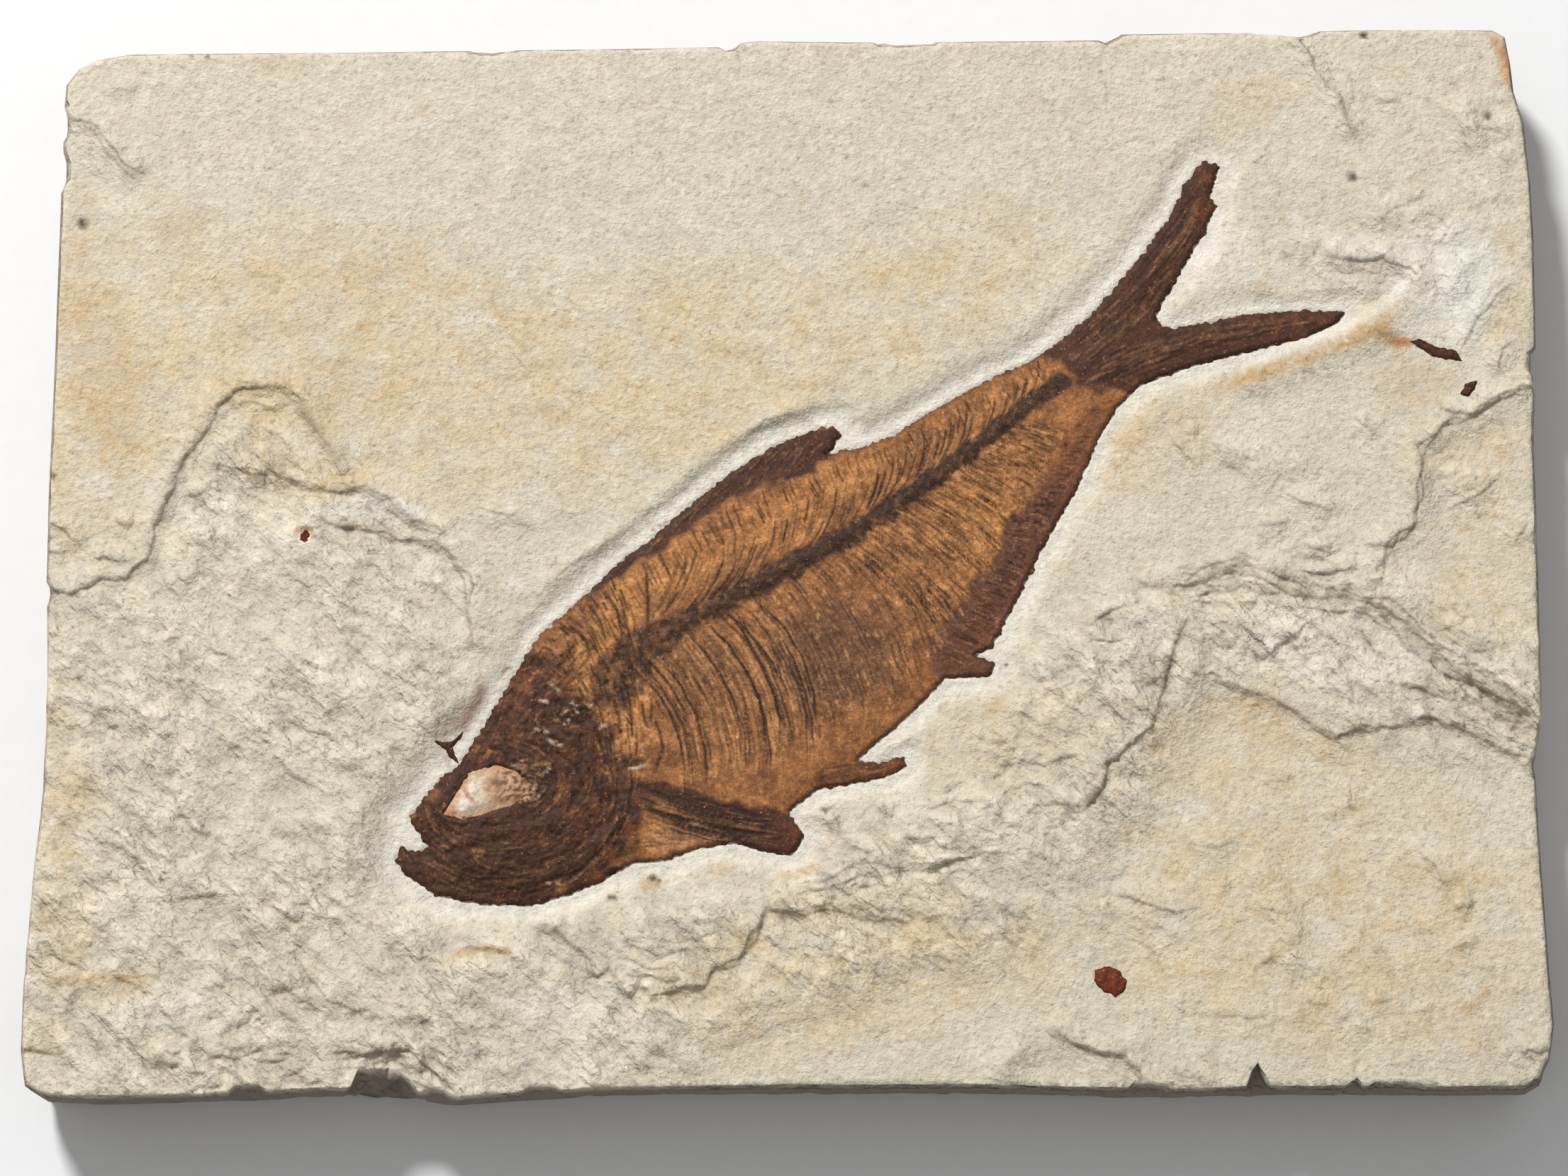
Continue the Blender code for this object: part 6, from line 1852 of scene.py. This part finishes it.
def fossil():
    """Brown bone and film: fins, head, seams and flakes, and a fine scaly grain."""
    weave = Weave("fossil_bone")
    coarse, middle, fine = weave.noise(4.0, 4.0), weave.noise(1.1, 5.0, 0.7), weave.noise(0.3, 3.0, 0.75)
    scales = weave.cells(0.75)
    colour = weave.layered(weave.base(coarse, (136, 88, 52), (174, 116, 69)), (
        Layer("gold", (197, 134, 76), 0.75, 1.2),
        Layer("grey", (118, 82, 57), 0.85, 1.0),
        Layer("pelvic", (120, 70, 42), 0.9, 0.5),
        Layer("head", (80, 49, 34), 1.0, 0.8),
        Layer("fin", (82, 50, 36), 1.0, 0.8),
        Layer("anal", (113, 72, 53), 1.0, 0.8),
        Layer("red", (128, 74, 42), 0.8, 1.2),
        Layer("flesh", (196, 138, 98), 0.85, 1.0),
        Layer("column", (50, 34, 27), 0.92, 0.9),
        Layer("pale", (206, 150, 98), 0.75, 0.8),
        Layer("line", (40, 23, 16), 0.95, 0.35),
        Layer("rim", (58, 32, 22), 0.6, 0.8),
        Layer("white", (206, 176, 150), 0.8, 0.9),
    ), middle)
    glints = weave.math("MULTIPLY", weave.spread(fine, 0.6, 0.7), weave.spread(middle, 0.46, 0.6, 0.0, 0.7))
    colour = weave.mix(glints, colour, linear((204, 154, 110)))
    colour = weave.shaded(
        colour, weave.spread(fine, 0.3, 0.7, 0.56, 1.4), weave.spread(middle, 0.34, 0.66, 0.74, 1.26),
        weave.spread(weave.tone("mottle"), 0.0, 1.0, 0.7, 1.27),
        weave.spread(weave.tone("grain"), 0.0, 1.0, 0.78, 1.22), weave.spread(scales, 0.0, 0.8, 1.08, 0.86),
    )
    bumps = ((middle, 0.16), (fine, 0.08), (scales, 0.05))
    return weave.finish(colour, weave.spread(middle, 0.3, 0.7, 0.5, 0.75), bumps, 0.22)


def calcite():
    """Pale mineral with pink streaks and dark arcs."""
    weave = Weave("calcite")
    middle, fine = weave.noise(1.3, 4.0), weave.noise(0.35, 3.0, 0.7)
    colour = weave.layered(weave.base(middle, (228, 208, 182), (246, 236, 218)), (
        Layer("rim", (214, 164, 122), 0.8, 1.0),
        Layer("tan", (204, 158, 116), 0.85, 0.9),
        Layer("pink", (200, 142, 114), 0.9, 0.6),
        Layer("arcs", (104, 66, 44), 0.85, 0.7),
    ), middle)
    colour = weave.shaded(
        colour, weave.spread(fine, 0.3, 0.7, 0.74, 1.1), weave.spread(middle, 0.36, 0.64, 0.8, 1.06),
    )
    bumps = ((middle, 0.2), (fine, 0.08))
    return weave.finish(colour, weave.spread(fine, 0.3, 0.7, 0.45, 0.7), bumps, 0.25)


def relic(name, light, dark):
    """Bone or scale that lies loose in the stone."""
    weave = Weave(name)
    middle, fine = weave.noise(0.9, 4.0), weave.noise(0.3, 3.0, 0.7)
    colour = weave.layered(weave.base(middle, dark, light), (Layer("rim", dark, 0.8, 0.8),), fine)
    colour = weave.mix(weave.spread(fine, 0.62, 0.68, 0.0, 0.6), colour, linear((196, 150, 120)))
    colour = weave.shaded(colour, weave.spread(fine, 0.3, 0.7, 0.7, 1.25))
    return weave.finish(colour, weave.spread(fine, 0.3, 0.7, 0.6, 0.8), ((middle, 0.12), (fine, 0.06)), 0.2)


def floor_paint():
    """Plain pale paint."""
    weave = Weave("floor_paint")
    grain = weave.noise(3.0, 3.0)
    colour = weave.mix(weave.spread(grain, 0.3, 0.7), (0.86, 0.86, 0.86, 1.0), (0.88, 0.88, 0.88, 1.0))
    return weave.finish(colour, 0.9, ((grain, 0.01),))


# ---------------------------------------------------------------- stage, light and camera

# Lengths in metres, the tilt from straight down in degrees, and the lens and its sensor in millimetres
CAMERA_PLACE = (-0.0011, -0.1447, 0.6171)
CAMERA_TILT = 13.0
CAMERA_LENS = 106.96
CAMERA_SENSOR = 36.0
CAMERA_NEAR = 0.01
KEY_PLACE = (-0.7, 1.25, 1.3)
KEY_SIZE = 0.36
KEY_POWER = 38.5
SKY_STRENGTH = 0.36
FLOOR_HALF = 1.5
FLOOR_GAP = 0.0002


def add_stage():
    """The floor, just under the block."""
    mesh = bpy.data.meshes.new("floor")
    turns = ((-1, -1), (1, -1), (1, 1), (-1, 1))
    mesh.from_pydata([(x * FLOOR_HALF, y * FLOOR_HALF, 0.0) for x, y in turns], [], [(0, 1, 2, 3)])
    mesh.materials.append(floor_paint())
    floor = bpy.data.objects.new("floor", mesh)
    floor.location.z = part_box("limestone_slab")[0].z - FLOOR_GAP
    bpy.context.scene.collection.objects.link(floor)


def add_light(name, place, size, power):
    """A round lamp that points at the scene's origin."""
    lamp = bpy.data.lights.new(name, "AREA")
    lamp.shape = "DISK"
    lamp.size = size
    lamp.energy = power
    made = bpy.data.objects.new(name, lamp)
    made.location = place
    made.rotation_euler = (-Vector(place)).to_track_quat("-Z", "Y").to_euler()
    bpy.context.scene.collection.objects.link(made)


def add_camera():
    """The photo's camera, which looks down on the block and a little away from it."""
    lens = bpy.data.cameras.new("camera")
    lens.lens = CAMERA_LENS
    lens.sensor_width = CAMERA_SENSOR
    lens.clip_start = CAMERA_NEAR
    made = bpy.data.objects.new("camera", lens)
    made.location = CAMERA_PLACE
    made.rotation_euler = (math.radians(CAMERA_TILT), 0.0, 0.0)
    bpy.context.scene.collection.objects.link(made)
    bpy.context.scene.camera = made


def add_world():
    """Even white light from all round."""
    world = bpy.data.worlds.new("studio")
    world.use_nodes = True
    sky = world.node_tree.nodes["Background"]
    sky.inputs["Color"].default_value = (1.0, 1.0, 1.0, 1.0)
    sky.inputs["Strength"].default_value = SKY_STRENGTH
    bpy.context.scene.world = world
    bpy.context.scene.view_settings.view_transform = "Standard"


def settle(piece, node):
    """Hangs the piece on the root body and hides the solid that it replaces."""
    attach(piece, "root")
    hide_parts(node)


add_camera()
add_world()
add_light("key", KEY_PLACE, KEY_SIZE, KEY_POWER)
add_stage()
settle(build_stone(limestone()), "limestone_slab")
settle(build_fish(fossil()), "fossil_fish")
settle(build_eye(calcite()), "eye_socket_calcite")
dresses = {
    "dark_bone": relic("loose_bone", (92, 52, 34), (56, 32, 24)),
    "scale": relic("loose_scale", (124, 58, 32), (88, 38, 22)),
}
for number, speck in enumerate(SPECKS):
    settle(build_speck(speck, dresses[speck.slot], number), speck.node)
